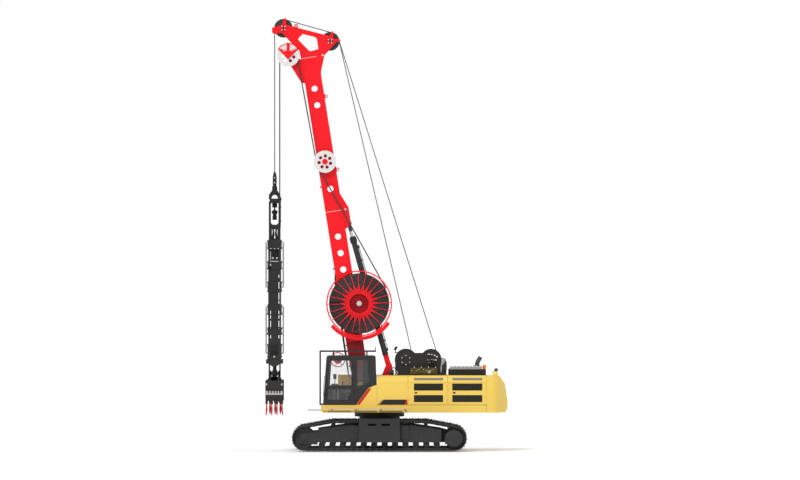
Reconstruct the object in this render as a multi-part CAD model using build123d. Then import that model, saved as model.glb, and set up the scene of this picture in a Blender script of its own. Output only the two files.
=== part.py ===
"""Crawler machine with a rope-hung hydraulic grab for digging diaphragm wall trenches.

Frame: +X forward, +Y to the operator's left, +Z up, ground at Z = 0. The pieces are drawn about the
swing axis and moved by SWING_X on export, so that the origin is the middle of the machine's footprint.
All lengths are millimetres and all angles are degrees.
"""

import math
import os

from build123d import *

# Crawler tracks
WHEELBASE = 5360
TRACK_Y = 1800
SHOE_WIDTH = 800
SHOE_COUNT = 58
SHOE_PLATE = 20
GROUSER_HEIGHT = 38
CHAIN_WIDTH = 300
CHAIN_HEIGHT = 75
WHEEL_RADIUS = 345
CARRIER_X = 1670
CARRIER_RADIUS = 65
CARRIER_Z = 950
ROLLER_RADIUS = 115
ROLLER_COUNT = 12
ROLLER_SPAN = 4114
ROLLER_SLOT = 400
FRAME_HALF = 230
STEP_HALF = 733
STEP_TOP = 1190

# Car body and slewing ring
BEAM_X = 828
BEAM_WIDTH = 468
BEAM_Z = (439, 943)
HUB_HALF = 900
PEDESTAL_RADIUS = 730
RING_RADIUS = 895
RING_Z = (1231, 1393)

# Upper structure
DECK_TOP = 1663
DECK_FRONT = 2088
DECK_NOSE = 86
HALF_WIDTH = 1600
TAIL_REACH = 4608
TAIL_DEPTH = 734
TAIL_ROUND = 150
HOUSE_FRONT = 80
HOUSE_REAR = TAIL_DEPTH - TAIL_REACH
HOUSE_TOP = 2718
HOUSE_WALL = 40
SHOULDER = 230
BAY_HALF = 560
BAY_REAR = -560
SKIRT = 25
CATWALK_X = (-950, 2000)
CATWALK_Z = 1480
CATWALK_WIDTH = 420
FRONT_STEP = 497
RADIATOR_HALF = 700
RADIATOR_GAP = 266
RADIATOR_TOP = 2935
RADIATOR_LID = 3040
LID_LEAD = 130
RADIATOR_RIBS = 8
EXHAUST_LEAD = 354
EXHAUST_Y = -350
EXHAUST_RADIUS = 80
EXHAUST_BEND = 3180
EXHAUST_LEAN = 30
LIFT_EYE = (HOUSE_REAR - 296, 2790)
LIFT_EYE_Y = 900
LIFT_EYE_OUTER = 85
LIFT_EYE_BORE = 40
LIFT_EYE_THICK = 60

# Cab
CAB_Y = (575, HALF_WIDTH - 10)
CAB_BASE = 1670
CAB_ROOF = 3438
CAB_WALL = 55
PANE = 10
GUARD_Z = 3590
GUARD_BAR = 50
GUARD_REAR = 120
GUARD_FRONT = 2150
GUARD_SLATS = 7

# Boom, drawn upright about its foot pin: fwd is ahead of its centre line, up is along it
FOOT = (630, 2250)
BOOM_LEAN = 9
BOOM_DEPTH = 620
BOOM_WIDTH = 600
BOOM_PLATE = 20
SPLICE_LOW = 6450
SPLICE_HIGH = 12050
HOLE_RADIUS = 112
HOLE_HEIGHTS = (4318, 4918, 5518, 7257, 10308, 10910)
HEAD_PLATE = 40
HEAD_BACK = -545
HEAD_EYE = (303, 13238)
HEAD_SPACERS = ((-150, 12900), (420, 12480), (-470, 12160))
KEEPER_GAP = 40
KEEPER_PIN = 12

# Ropes, sheaves and winches
ROPE_DIAMETER = 32
ROPE_Y = 110
SHEAVE_RADIUS = 335
SHEAVE_WIDTH = 90
SHEAVE_GROOVE = 300
FRONT_SHEAVE = (766, 13232)
REAR_SHEAVE = (-821, 12503)
WINCH_DRUMS = ((-950, 3262), (-1858, 3285))
DRUM_RADIUS = 250
DRUM_FLANGE = 360
DRUM_HALF = 400
WINCH_PLATE = 40
WINCH_LOBE = 402
WINCH_LOBE_REAR = 372
WINCH_SADDLE = 3511
WINCH_REAR = WINCH_DRUMS[1][0] - WINCH_LOBE + 50

# Hose reel and hose pulleys
HOSE_DIAMETER = 42
HOSE_Y = 430
HOSE_GAP = 52
PULLEY_RADIUS = 400
PULLEY_GROOVE = 284
PULLEY_WIDTH = 150
HOOD_ARC = (32, 148)
HOOD_GAP = 10
HOOD_PLATE = 30
TOP_PULLEY = (745, 12234)
MID_PULLEY = (42, 8251)
REEL = (-377, 3024)
REEL_RADIUS = 1183
REEL_WOUND = 1085
REEL_HUB = 371
REEL_HALF = 90
REEL_RIM = 45
REEL_SPOKES = 24
REEL_STAR = (460, 690)
REEL_GUARD = (10, 140)
CABLE_REEL = (700, 1142)
CABLE_REEL_RADIUS = 270

# Luffing cylinders
LUFF_BASE = (-328, 3053)
LUFF_EYE = (-457, 5923)
LUFF_Y = 180
BARREL_RADIUS = 100
ROD_RADIUS = 62
PIN_RADIUS = 45
PIN_PLAY = 12

# Grab
GRAB_HALF = 1100
GRAB_BODY_X = 218
GRAB_COLLAR_X = 243
GRAB_GUIDE_X = 321
GRAB_PLATE = 25
GRAB_BODY_Z = (3283, 7580)
COLLARS = ((3322, 3830), (4173, 4426), (4889, 5262), (5699, 6082), (6518, 6821), (7244, 7580))
COLLAR_RISE = 20
WINDOW_EDGE = 40
WINDOW_WIDTH = 560
WINDOW_Y = 620
SLOT_HALF = 28
END_SLOTS = {
    149: ((4023, 4202), (4382, 4680), (4740, 5038), (6518, 6716)),
    -149: ((4023, 4202), (4382, 4680), (4740, 5038), (5277, 5396), (5426, 5725), (5818, 6082), (6214, 6333)),
}
FLANGE_HEIGHT = 143
GUIDE_Y = 820
GUIDE_PLATE = 25
GUIDE_END = 170
RUNG = 16
NECK_X = 207
FRAME_LEG = 66
BELL_TOP = 9383
SWIVEL_RADIUS = 90
GRAB_NECK_HALF = 420
GRAB_TOP_Z = (8010, 8970)
SOCKET_TOP = 10026
JAW_PIVOT = (200, 2538)
JAW_RADIUS = 1200
JAW_HALF_X = 320
JAW_SHELL = 40
JAW_LIP_ANGLE = -45.8
JAW_TOP_ANGLE = 0
JAW_CLOSE = 53.2
JAW_ARM = 520
TOOTH_LENGTH = 400
TOOTH_WIDTH = 72
TOOTH_PITCH = 186
TOOTH_OUTER = 274
TOOTH_FLARE = 24
TOOTH_NOTCH = 46
NOTCH_ANGLE = 8
DRAIN_Z = (2053, 2202)
CLEAR = 0.3

# Door hinges
HINGE_STAND = 18
HINGE_PIN = 8
HINGE_KNUCKLE = 16
HINGE_HEIGHT = 80
HINGE_LUG = 20
HINGE_LEAD = 10
HINGE_REACH = 80
HOUSE_HINGES = (1850, 2320)
CAB_HINGES = (2150, 3050)

REST_FRONT = FOOT[0] + FRONT_SHEAVE[0] * math.cos(math.radians(BOOM_LEAN)) + FRONT_SHEAVE[1] * math.sin(
    math.radians(BOOM_LEAN)
)
GRAB_X = REST_FRONT + SHEAVE_GROOVE + ROPE_DIAMETER / 2
SWING_X = (TAIL_REACH - GRAB_X - GRAB_GUIDE_X) / 2
ON_BOOM = Pos(FOOT[0], 0, FOOT[1]) * Rot(0, BOOM_LEAN, 0)
AT_GRAB = Pos(GRAB_X, 0, 0)


def block(x, y, z):
    """A block between three (low, high) pairs."""
    middle = [(low + high) / 2 for low, high in (x, y, z)]
    return Pos(*middle) * Box(*[high - low for low, high in (x, y, z)])


def outline(points):
    return make_face(Polyline(*points, close=True))


def side_slab(sketch, y_low, y_high):
    """An X-Z outline carried across the machine from y_low to y_high."""
    return Pos(0, y_low, 0) * extrude(Plane.XZ * sketch, amount=y_low - y_high)


def front_slab(sketch, x_low, x_high):
    """A Y-Z outline carried along the machine from x_low to x_high."""
    return Pos(x_low, 0, 0) * extrude(Plane.YZ * sketch, amount=x_high - x_low)


def plan_slab(sketch, z_low, z_high):
    return Pos(0, 0, z_low) * extrude(sketch, amount=z_high - z_low)


def cross_pin(radius, place, y_low, y_high):
    """A round bar across the machine at an (x, z) place."""
    return Pos(place[0], (y_low + y_high) / 2, place[1]) * Rot(90, 0, 0) * Cylinder(radius, y_high - y_low)


def long_pin(radius, place, x_low, x_high):
    """A round bar along the machine at a (y, z) place."""
    return Pos((x_low + x_high) / 2, *place) * Rot(0, 90, 0) * Cylinder(radius, x_high - x_low)


def both_sides(shape):
    return [shape, mirror(shape, about=Plane.XZ)]


def fused(pieces):
    whole, *rest = pieces
    return whole.fuse(*rest) if rest else whole


def hinge_pin(x, wall, z):
    """Fixed half of an upright hinge on a +Y wall: two lugs and the pin between them."""
    axis = wall + HINGE_STAND
    fixed = Pos(x, axis, z) * Cylinder(HINGE_PIN, HINGE_HEIGHT + 2 * HINGE_LUG)
    for end in (1, -1):
        middle = z + end * (HINGE_HEIGHT + HINGE_LUG) / 2
        lug = (middle - HINGE_LUG / 2 + 1, middle + HINGE_LUG / 2)
        lug = lug if end > 0 else (middle - HINGE_LUG / 2, middle + HINGE_LUG / 2 - 1)
        fixed += Pos(x, axis, sum(lug) / 2) * Cylinder(HINGE_KNUCKLE, lug[1] - lug[0])
        fixed += block((x - HINGE_PIN, x + HINGE_PIN), (wall - 5, axis), lug)
    return fixed


def hinge_leaf(x, wall, z, reach):
    """Moving half of an upright hinge: knuckle and a strap that reaches along the wall to its panel."""
    axis = wall + HINGE_STAND
    tall = (z - HINGE_HEIGHT / 2, z + HINGE_HEIGHT / 2)
    leaf = Pos(x, axis, z) * Cylinder(HINGE_KNUCKLE, HINGE_HEIGHT)
    leaf += block(sorted((x, x + reach)), (wall + 2, wall + 9), tall)
    leaf += block(sorted((x + reach / 2, x + reach)), (wall - 5, wall + 9), tall)
    return leaf - Pos(x, axis, z) * Cylinder(HINGE_PIN + CLEAR, 2 * HINGE_HEIGHT)


def polar(centre, radius, angle):
    turn = math.radians(angle)
    return (centre[0] + radius * math.cos(turn), centre[1] + radius * math.sin(turn))


def boom_point(place):
    """Where an upright boom place (fwd, up) stands once the boom leans."""
    lean = math.radians(BOOM_LEAN)
    fwd, up = place
    return (
        FOOT[0] + fwd * math.cos(lean) + up * math.sin(lean),
        FOOT[1] - fwd * math.sin(lean) + up * math.cos(lean),
    )


def tangent(near, near_radius, far, far_radius, side, crossed=False):
    """Ends of the line that touches two circles: side +1 is to the left going from near to far."""
    span = math.dist(near, far)
    along = ((far[0] - near[0]) / span, (far[1] - near[1]) / span)
    across = (-along[1] * side, along[0] * side)
    far_sign = -1 if crossed else 1
    lift = (near_radius - far_sign * far_radius) / span
    level = math.sqrt(1 - lift * lift)
    normal = [lift * a + level * c for a, c in zip(along, across)]
    start = tuple(p + near_radius * n for p, n in zip(near, normal))
    end = tuple(p + far_sign * far_radius * n for p, n in zip(far, normal))
    return start, end


def bar_between(start, end, radius, y):
    """A straight round bar from one (x, z) place to another at a distance y off the middle."""
    line = Line((start[0], y, start[1]), (end[0], y, end[1]))
    return sweep(Plane(line @ 0, z_dir=line % 0) * Circle(radius), path=line)


# Crawler tracks


def hull(points):
    """The convex outline round a set of points."""
    points = sorted(points)

    def chain(row):
        kept = []
        for x, z in row:
            while len(kept) > 1:
                (ax, az), (bx, bz) = kept[-2:]
                if (bx - ax) * (z - az) - (bz - az) * (x - ax) > 0:
                    break
                kept.pop()
            kept.append((x, z))
        return kept[:-1]

    return chain(points) + chain(points[::-1])


AXLE_Z = WHEEL_RADIUS + CHAIN_HEIGHT + SHOE_PLATE + GROUSER_HEIGHT
# Wheels that the chain runs round: x, z, radius
RUN_WHEELS = (
    (WHEELBASE / 2, AXLE_Z, WHEEL_RADIUS),
    (-WHEELBASE / 2, AXLE_Z, WHEEL_RADIUS),
    (CARRIER_X, CARRIER_Z, CARRIER_RADIUS),
    (-CARRIER_X, CARRIER_Z, CARRIER_RADIUS),
)
ARC_STEP = 15
# Shoe profile: share of the pitch, share of the grouser's height
SHOE_PROFILE = ((0.03, 0), (0.08, 1), (0.17, 1), (0.24, 0), (0.5, 0), (0.56, 1), (0.65, 1), (0.72, 0))


def loop(lift):
    """The closed path that runs lift above the chain's rail face."""
    return hull(
        polar((x, z), radius + lift, angle)
        for x, z, radius in RUN_WHEELS
        for angle in range(0, 360, ARC_STEP)
    )


def shoe_outline():
    """The shoes' outer outline with two grousers on each shoe."""
    path = loop(CHAIN_HEIGHT + SHOE_PLATE)
    path.append(path[0])
    runs = [math.dist(a, b) for a, b in zip(path, path[1:])]
    pitch = sum(runs) / SHOE_COUNT
    points, run, passed = [], 0, 0
    for shoe in range(SHOE_COUNT):
        for share, rise in SHOE_PROFILE:
            station = (shoe + share) * pitch
            while station > passed + runs[run]:
                passed += runs[run]
                run += 1
            (ax, az), (bx, bz) = path[run : run + 2]
            t = (station - passed) / runs[run]
            out = rise * GROUSER_HEIGHT / runs[run]
            points.append((ax + (bx - ax) * t + (bz - az) * out, az + (bz - az) * t - (bx - ax) * out))
    return outline(points)


def track(side):
    shoes = shoe_outline() - outline(loop(CHAIN_HEIGHT))
    links = outline(loop(CHAIN_HEIGHT)) - outline(loop(0))
    middle = side * TRACK_Y
    band = side_slab(shoes, middle - SHOE_WIDTH / 2, middle + SHOE_WIDTH / 2)
    return band + side_slab(links, middle - CHAIN_WIDTH / 2, middle + CHAIN_WIDTH / 2)


def track_frame(side):
    """Box frame inside the loop with the idler's yoke, cross beam pads, carrier posts and a step."""
    inner = FRAME_HALF
    body = outline(
        [(2214, 335), (2214, 792), (1150, 954), (-1150, 954), (-2214, 792), (-2214, 335)]
    )
    shape = side_slab(body, -inner, inner)
    shape -= block((-2300, 2300), (-CHAIN_WIDTH / 2, CHAIN_WIDTH / 2), (300, ROLLER_SLOT))
    yoke = outline([(2880, 300), (2880, 660), (2214, 702), (2214, 252)])
    shape += both_sides(side_slab(yoke, CHAIN_WIDTH / 2 + 15, inner))
    hanger = outline([(-2214, 335), (-2214, 792), (-2800, 640), (-2800, 330)])
    cheek = side_slab(hanger, -inner, -CHAIN_WIDTH / 2 - 15)
    shape += cheek if side > 0 else mirror(cheek, about=Plane.XZ)
    for x in (BEAM_X, -BEAM_X):
        pad = (x - BEAM_WIDTH / 2, x + BEAM_WIDTH / 2)
        shape += block(pad, sorted((inner * side, (inner + 35) * side)), BEAM_Z)
    for x in (CARRIER_X, -CARRIER_X):
        for y in (-100, 100):
            shape += block((x - 70, x + 70), (y - 15, y + 15), (700, CARRIER_Z))
    outer = SHOE_WIDTH / 2 + 15
    plate = outline(
        [(STEP_HALF, 342), (STEP_HALF, STEP_TOP - 60), (STEP_HALF - 40, STEP_TOP)]
        + [(40 - STEP_HALF, STEP_TOP), (-STEP_HALF, STEP_TOP - 60), (-STEP_HALF, 342)]
    )
    for x in (-225, 255):
        plate -= Pos(x, 970) * SlotOverall(320, 80)
    step = side_slab(plate, outer, outer + 30)
    for x in (-500, 500):
        step += block((x - 60, x + 60), (inner, outer), (450, 800))
    shape += step if side > 0 else mirror(step, about=Plane.XZ)
    return Pos(0, side * TRACK_Y, 0) * shape


def running_gear():
    """Idlers, sprockets with their final drives, carrier rollers and track rollers of both tracks."""
    wheels = []
    fit = WHEEL_RADIUS * math.cos(math.radians(ARC_STEP / 2)) - 1
    half = CHAIN_WIDTH / 2 - 10
    axle = CHAIN_WIDTH / 2 + 15
    front, rear = (WHEELBASE / 2, AXLE_Z), (-WHEELBASE / 2, AXLE_Z)
    for side in (1, -1):
        middle = side * TRACK_Y
        idler = cross_pin(fit, front, middle - half, middle + half)
        wheels.append(idler + cross_pin(70, front, middle - axle, middle + axle))
        drive = sorted((middle - side * axle, middle + side * (SHOE_WIDTH / 2 - 20)))
        sprocket = cross_pin(fit, rear, middle - half, middle + half)
        wheels.append(sprocket + cross_pin(0.88 * fit, rear, *drive))
        for x in (CARRIER_X, -CARRIER_X):
            wheels.append(cross_pin(CARRIER_RADIUS - 2, (x, CARRIER_Z), middle - 85, middle + 85))
        for index in range(ROLLER_COUNT):
            x = ROLLER_SPAN * (index / (ROLLER_COUNT - 1) - 0.5)
            z = AXLE_Z - WHEEL_RADIUS + ROLLER_RADIUS + CLEAR
            roller = cross_pin(ROLLER_RADIUS, (x, z), middle - 130, middle + 130)
            for y in (middle - 150, middle + 130):
                roller += block((x - 45, x + 45), (y, y + 20), (z - 40, ROLLER_SLOT))
            wheels.append(roller)
    return wheels


def car_body():
    """Hollow centre box with cross beams out to the track frames and the ring's pedestal."""
    end = TRACK_Y - FRAME_HALF
    hub = block((-HUB_HALF, HUB_HALF), (-HUB_HALF, HUB_HALF), (520, 990))
    hub -= block((60 - HUB_HALF, HUB_HALF - 60), (60 - HUB_HALF, HUB_HALF - 60), (520, 930))
    for x in (BEAM_X, -BEAM_X):
        beam = block((x - BEAM_WIDTH / 2, x + BEAM_WIDTH / 2), (HUB_HALF - 60, end), BEAM_Z)
        hub += both_sides(beam)
    pedestal = Pos(0, 0, (960 + RING_Z[0]) / 2) * Cylinder(PEDESTAL_RADIUS, RING_Z[0] - 960)
    bore = Pos(0, 0, 1000) * Cylinder(PEDESTAL_RADIUS - 150, 800)
    return hub + pedestal - bore


def slew_ring():
    low, high = RING_Z[0] + CLEAR, RING_Z[1]
    ring = Pos(0, 0, (low + high) / 2) * Cylinder(RING_RADIUS, high - low)
    return ring - Pos(0, 0, low) * Cylinder(PEDESTAL_RADIUS - 150, 800)


# Upper structure


def upper_deck():
    """Welded deck: rounded nose, top plate, skirts, centre girders and the boom's foot brackets."""
    low = RING_Z[1]
    profile = outline(
        [(HOUSE_REAR, low), (DECK_FRONT, low), (DECK_FRONT, DECK_TOP), (HOUSE_REAR, DECK_TOP)]
    )
    nose = profile.vertices().group_by(Axis.X)[-1].sort_by(Axis.Y)[0]
    deck = side_slab(fillet(nose, DECK_NOSE), -HALF_WIDTH, HALF_WIDTH)
    hollow = (HOUSE_REAR + SKIRT, DECK_FRONT - DECK_NOSE - SKIRT)
    deck -= block(hollow, (SKIRT - HALF_WIDTH, HALF_WIDTH - SKIRT), (low, DECK_TOP - SKIRT))
    deck += both_sides(block(hollow, (345, 395), (low, DECK_TOP - SKIRT)))
    deck += Pos(0, 0, low + 15) * Cylinder(RING_RADIUS, 30)
    cheek = outline(
        [(1150, DECK_TOP), (850, 2330), (750, 2480), (510, 2480), (410, 2330), (-250, DECK_TOP)]
    )
    deck += both_sides(side_slab(cheek, BOOM_WIDTH / 2 + 15, BOOM_WIDTH / 2 + 75))
    return deck


def luff_bracket():
    """Red lugs on the deck that carry the base pins of the luffing cylinders."""
    x, z = LUFF_BASE
    lug = outline(
        [(350, DECK_TOP), (x + 130, z - 60), (x + 60, z + 110), (x - 80, z + 110), (x - 130, z)]
        + [(BAY_REAR + 20, DECK_TOP)]
    )
    plates = []
    for y in (LUFF_Y - 110, LUFF_Y + 70):
        plates += both_sides(side_slab(lug, y, y + 40))
    base = block((BAY_REAR + 20, 350), (-LUFF_Y - 110, LUFF_Y + 110), (DECK_TOP, DECK_TOP + 30))
    span = LUFF_Y + 110
    return fused([base, *plates, cross_pin(PIN_RADIUS, LUFF_BASE, -span, span)])


def house_section(inset):
    """The house's cross-section with rounded shoulders."""
    half, top = HALF_WIDTH - inset, HOUSE_TOP - inset
    section = outline([(-half, DECK_TOP), (half, DECK_TOP), (half, top), (-half, top)])
    return fillet(section.vertices().group_by(Axis.Y)[-1], SHOULDER - inset)


# Doors of the house: front x, rear x, grille front x, grille rear x
DOORS = {
    "mid": tuple(HOUSE_REAR + x for x in (2854, 1453, 2637, 1592)),
    "rear": tuple(HOUSE_REAR + x for x in (1413, 40, 1264, 188)),
}
DOOR_Z = (1690, 2470)
DOOR_GAP = 6
GRILLE_ROWS = ((1771, 2023), (2185, 2437))
GRILLE_DEPTH = 15
SLAT_COUNT = 5
VENT_Z = (2551, 2638)
VENT_DEPTH = 12


def engine_house():
    """Hollow hood over the engine and pumps: door openings cut, shallow vents along the shoulders."""
    shell = front_slab(house_section(0), HOUSE_REAR, HOUSE_FRONT)
    wall = HOUSE_WALL
    room = front_slab(house_section(wall), HOUSE_REAR + wall, HOUSE_FRONT - wall)
    side = BAY_HALF + wall
    bay = block((BAY_REAR - wall, HOUSE_FRONT), (-side, side), (DECK_TOP, HOUSE_TOP + 10))
    slot = block((BAY_REAR, HOUSE_FRONT), (-BAY_HALF, BAY_HALF), (DECK_TOP, HOUSE_TOP + 10))
    shell = shell - (room - bay) - slot
    skin = house_section(0) - house_section(VENT_DEPTH)
    for front, rear, grille_front, grille_rear in DOORS.values():
        shell -= block((rear, front), (-HALF_WIDTH - 10, HALF_WIDTH + 10), DOOR_Z)
        grille = (grille_rear, grille_front)
        shell -= front_slab(skin, *grille) & block(grille, (-HALF_WIDTH, HALF_WIDTH), VENT_Z)
        for z in HOUSE_HINGES:
            shell += both_sides(hinge_pin(front + HINGE_LEAD, HALF_WIDTH, z))
    return shell


def house_door(name, side):
    """One side door with two rows of louvred grille openings."""
    front, rear, grille_front, grille_rear = DOORS[name]
    outer, inner = HALF_WIDTH, HALF_WIDTH - HOUSE_WALL
    tall = (DOOR_Z[0] + DOOR_GAP, DOOR_Z[1] - DOOR_GAP)
    door = block((rear + DOOR_GAP, front - DOOR_GAP), (inner, outer), tall)
    grille = (grille_rear, grille_front)
    for low, high in GRILLE_ROWS:
        door -= block(grille, (outer - GRILLE_DEPTH, outer), (low, high))
        pitch = (high - low) / SLAT_COUNT
        for index in range(SLAT_COUNT):
            z = low + pitch * (index + 0.5)
            door += block(grille, (outer - GRILLE_DEPTH - 1, outer - 5), (z - pitch / 4, z + pitch / 4))
    for z in HOUSE_HINGES:
        door += hinge_leaf(front + HINGE_LEAD, outer, z, -HINGE_REACH)
    return door if side > 0 else mirror(door, about=Plane.XZ)


def counterweight():
    """Cast tail block, curved in plan about the swing axis and rounded at the back, with two eyes."""
    tail, low, top = -TAIL_REACH, RING_Z[1], HOUSE_TOP - 22
    profile = outline(
        [(HOUSE_REAR, low), (HOUSE_REAR, top), (tail + 290, top), (tail + 100, 2420)]
        + [(tail, 1740), (tail + 11, 1541), (tail + 79, low)]
    )
    corners = profile.vertices().filter_by(lambda v: v.X < tail + 300 and v.Y > 1700)
    body = side_slab(fillet(corners, TAIL_ROUND), -HALF_WIDTH, HALF_WIDTH)
    plan = outline(
        [(0, -HALF_WIDTH), (0, HALF_WIDTH), (tail + 420, HALF_WIDTH), (tail, 760)]
        + [(tail, -760), (tail + 420, -HALF_WIDTH)]
    )
    plan = fillet(plan.vertices().filter_by(lambda v: v.X < tail + 500), 300)
    body = body & plan_slab(plan, low, HOUSE_TOP)
    x, z = LIFT_EYE
    half = LIFT_EYE_THICK / 2
    eye = cross_pin(LIFT_EYE_OUTER, LIFT_EYE, -half, half)
    eye += block((x - LIFT_EYE_OUTER, x + LIFT_EYE_OUTER), (-half, half), (top - 100, z))
    eye -= cross_pin(LIFT_EYE_BORE, LIFT_EYE, -LIFT_EYE_THICK, LIFT_EYE_THICK)
    for y in (-LIFT_EYE_Y, LIFT_EYE_Y):
        body += Pos(0, y, 0) * eye
    return body


def engine_block():
    return block((HOUSE_REAR + 374, HOUSE_REAR + 1774), (-450, 450), (DECK_TOP, 2450))


def tank_box():
    """Fuel and oil tank beside the boom, opposite the cab."""
    section = outline(
        [(-HALF_WIDTH, DECK_TOP), (-BAY_HALF, DECK_TOP), (-BAY_HALF, HOUSE_TOP), (-HALF_WIDTH, HOUSE_TOP)]
    )
    section = fillet(section.vertices().sort_by(Axis.Y)[-2:].sort_by(Axis.X)[0], SHOULDER)
    return front_slab(section, HOUSE_FRONT + 20, 1500)


def radiator_box():
    """Cooler housing on the roof under a ribbed lid with sloping ends."""
    rear, front = HOUSE_REAR + 48, WINCH_REAR - RADIATOR_GAP
    half = RADIATOR_HALF
    box = block((rear, front), (-half, half), (HOUSE_TOP, RADIATOR_TOP))
    rise = RADIATOR_LID - RADIATOR_TOP
    back = rear + LID_LEAD
    lid = outline(
        [(back, RADIATOR_TOP), (back, RADIATOR_LID), (front - rise, RADIATOR_LID)]
        + [(front - 10, RADIATOR_TOP)]
    )
    lid = side_slab(lid, 20 - half, half - 20)
    length = front - back - rise
    for index in range(RADIATOR_RIBS):
        x = back + length * (index + 0.5) / RADIATOR_RIBS
        wide = length / RADIATOR_RIBS / 4
        lid -= block((x - wide, x + wide), (-half, half), (RADIATOR_LID - 25, RADIATOR_LID + 5))
    return box + lid


def exhaust():
    """Stack that rises from the cooler housing and leans back to a slanted mouth."""
    x = HOUSE_REAR + EXHAUST_LEAD
    pipe = Pos(x, EXHAUST_Y, (RADIATOR_LID + EXHAUST_BEND) / 2)
    pipe *= Cylinder(EXHAUST_RADIUS, EXHAUST_BEND - RADIATOR_LID)
    lean = Pos(x, EXHAUST_Y, EXHAUST_BEND - 20) * Rot(0, -EXHAUST_LEAN, 0)
    mouth = lean * (Pos(0, 0, 120) * Cylinder(EXHAUST_RADIUS, 240))
    mouth -= lean * (Pos(0, 0, 150) * Cylinder(EXHAUST_RADIUS - 8, 200))
    return pipe + mouth


def winch_frame():
    """Two lobed side plates with cross bars that carry both drums, and a work lamp on a bracket."""
    (fx, fz), (rx, rz) = WINCH_DRUMS
    front = fx + WINCH_LOBE - 14
    plate = outline([(front, HOUSE_TOP), (front, fz), (WINCH_REAR, rz), (WINCH_REAR, HOUSE_TOP)])
    plate += outline([(fx, fz), (fx, WINCH_SADDLE), (rx, WINCH_SADDLE), (rx, rz)])
    plate += Pos(fx, fz) * Circle(WINCH_LOBE)
    plate += Pos(rx, rz) * Circle(WINCH_LOBE_REAR)
    inner, outer = DRUM_HALF + 20, DRUM_HALF + 20 + WINCH_PLATE
    pieces = both_sides(side_slab(plate, inner, outer))
    tie = inner + 10
    middle = (fx + rx) / 2
    for place in ((middle, 2830), (middle, 3300), (front - 60, 2830), (WINCH_REAR + 60, 2830)):
        pieces.append(cross_pin(45, place, -tie, tie))
    lamp = (front - 20, fz + WINCH_LOBE)
    pieces.append(block((lamp[0] - 180, lamp[0] + 40), (inner, outer), (lamp[1] - 150, lamp[1] - 120)))
    pieces.append(block((lamp[0] - 10, lamp[0] + 20), (inner, outer), (lamp[1] - 130, lamp[1] - 20)))
    pieces.append(Pos(lamp[0], (inner + outer) / 2, lamp[1] + 20) * Rot(0, -35, 0) * Box(90, 150, 150))
    frame = fused(pieces)
    for place in WINCH_DRUMS:
        frame -= cross_pin(110, place, -1000, 1000)
    return frame


def winch_drum(place):
    """Flanged drum on its stub shafts, with a few wraps of rope left bare in grooves."""
    half = DRUM_HALF
    drum = cross_pin(DRUM_RADIUS, place, -half, half)
    drum += both_sides(cross_pin(DRUM_FLANGE, place, half - 40, half))
    drum += cross_pin(110 - CLEAR, place, -half - 75, half + 75)
    return drum


# Cab


def cab_outline(inset):
    shape = outline(
        [(2023, CAB_BASE), (1895, CAB_ROOF), (135, CAB_ROOF), (105, 2403), (410, 2280), (853, CAB_BASE)]
    )
    shape = fillet(shape.vertices().group_by(Axis.Y)[-1], 90)
    return offset(shape, amount=-inset) if inset else shape


DOOR_WINDOW = [(1000, 2360), (1840, 2360), (1775, 3260), (1000, 3260)]
DOOR_LOW_WINDOW = [(1120, 1850), (1870, 1850), (1850, 2240), (1000, 2240)]
DOOR_OUTLINE = [(1000, 1745), (1950, 1745), (1840, 3330), (915, 3330), (915, 1840)]
CAB_HINGE_X = 905
REAR_QUARTER = [(800, 3290), (415, 3290), (365, 2500), (800, 2235)]
FRONT_PANE_Z = (1980, 3290)
RIGHT_PANE = [(600, 2360), (1780, 2360), (1720, 3290), (600, 3290)]
REAR_PANE_Z = (2560, 3290)


def cab_windows():
    """Cutters for every fixed window."""
    low, high = CAB_Y
    mid_y = (low + high) / 2
    return [
        side_slab(outline(REAR_QUARTER), mid_y, high + 20),
        side_slab(outline(RIGHT_PANE), low - 20, mid_y),
        block((1700, 2200), (low + 75, high - 80), FRONT_PANE_Z),
        block((50, 300), (low + 105, high - 110), REAR_PANE_Z),
    ]


def cab_shell():
    """Hollow cab with the door opening and the windows cut through its walls."""
    low, high = CAB_Y
    shell = side_slab(cab_outline(0), low, high)
    shell -= side_slab(cab_outline(CAB_WALL), low + CAB_WALL, high - CAB_WALL)
    for cutter in cab_windows():
        shell -= cutter
    shell -= side_slab(outline(DOOR_OUTLINE), high - CAB_WALL - 5, high + 20)
    for z in CAB_HINGES:
        shell += hinge_pin(CAB_HINGE_X, high, z)
    return shell


def cab_glass():
    """Panes set half way through the walls."""
    low, high = CAB_Y
    mid = CAB_WALL / 2
    outer = side_slab(cab_outline(mid), low + mid, high - mid)
    inner = side_slab(cab_outline(mid + PANE), low + mid + PANE, high - mid - PANE)
    layer = outer - inner
    panes = []
    for cutter in cab_windows():
        panes += list((layer & cutter).solids())
    return panes


def cab_door():
    low, high = CAB_Y
    frame = offset(outline(DOOR_OUTLINE), amount=-DOOR_GAP) - outline(DOOR_WINDOW) - outline(DOOR_LOW_WINDOW)
    door = side_slab(frame, high - CAB_WALL + 5, high)
    for z in CAB_HINGES:
        door += hinge_leaf(CAB_HINGE_X, high, z, HINGE_REACH)
    return door


def cab_door_glass():
    high = CAB_Y[1] - CAB_WALL / 2
    windows = (DOOR_WINDOW, DOOR_LOW_WINDOW)
    return [side_slab(outline(window), high - PANE / 2, high + PANE / 2) for window in windows]


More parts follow.
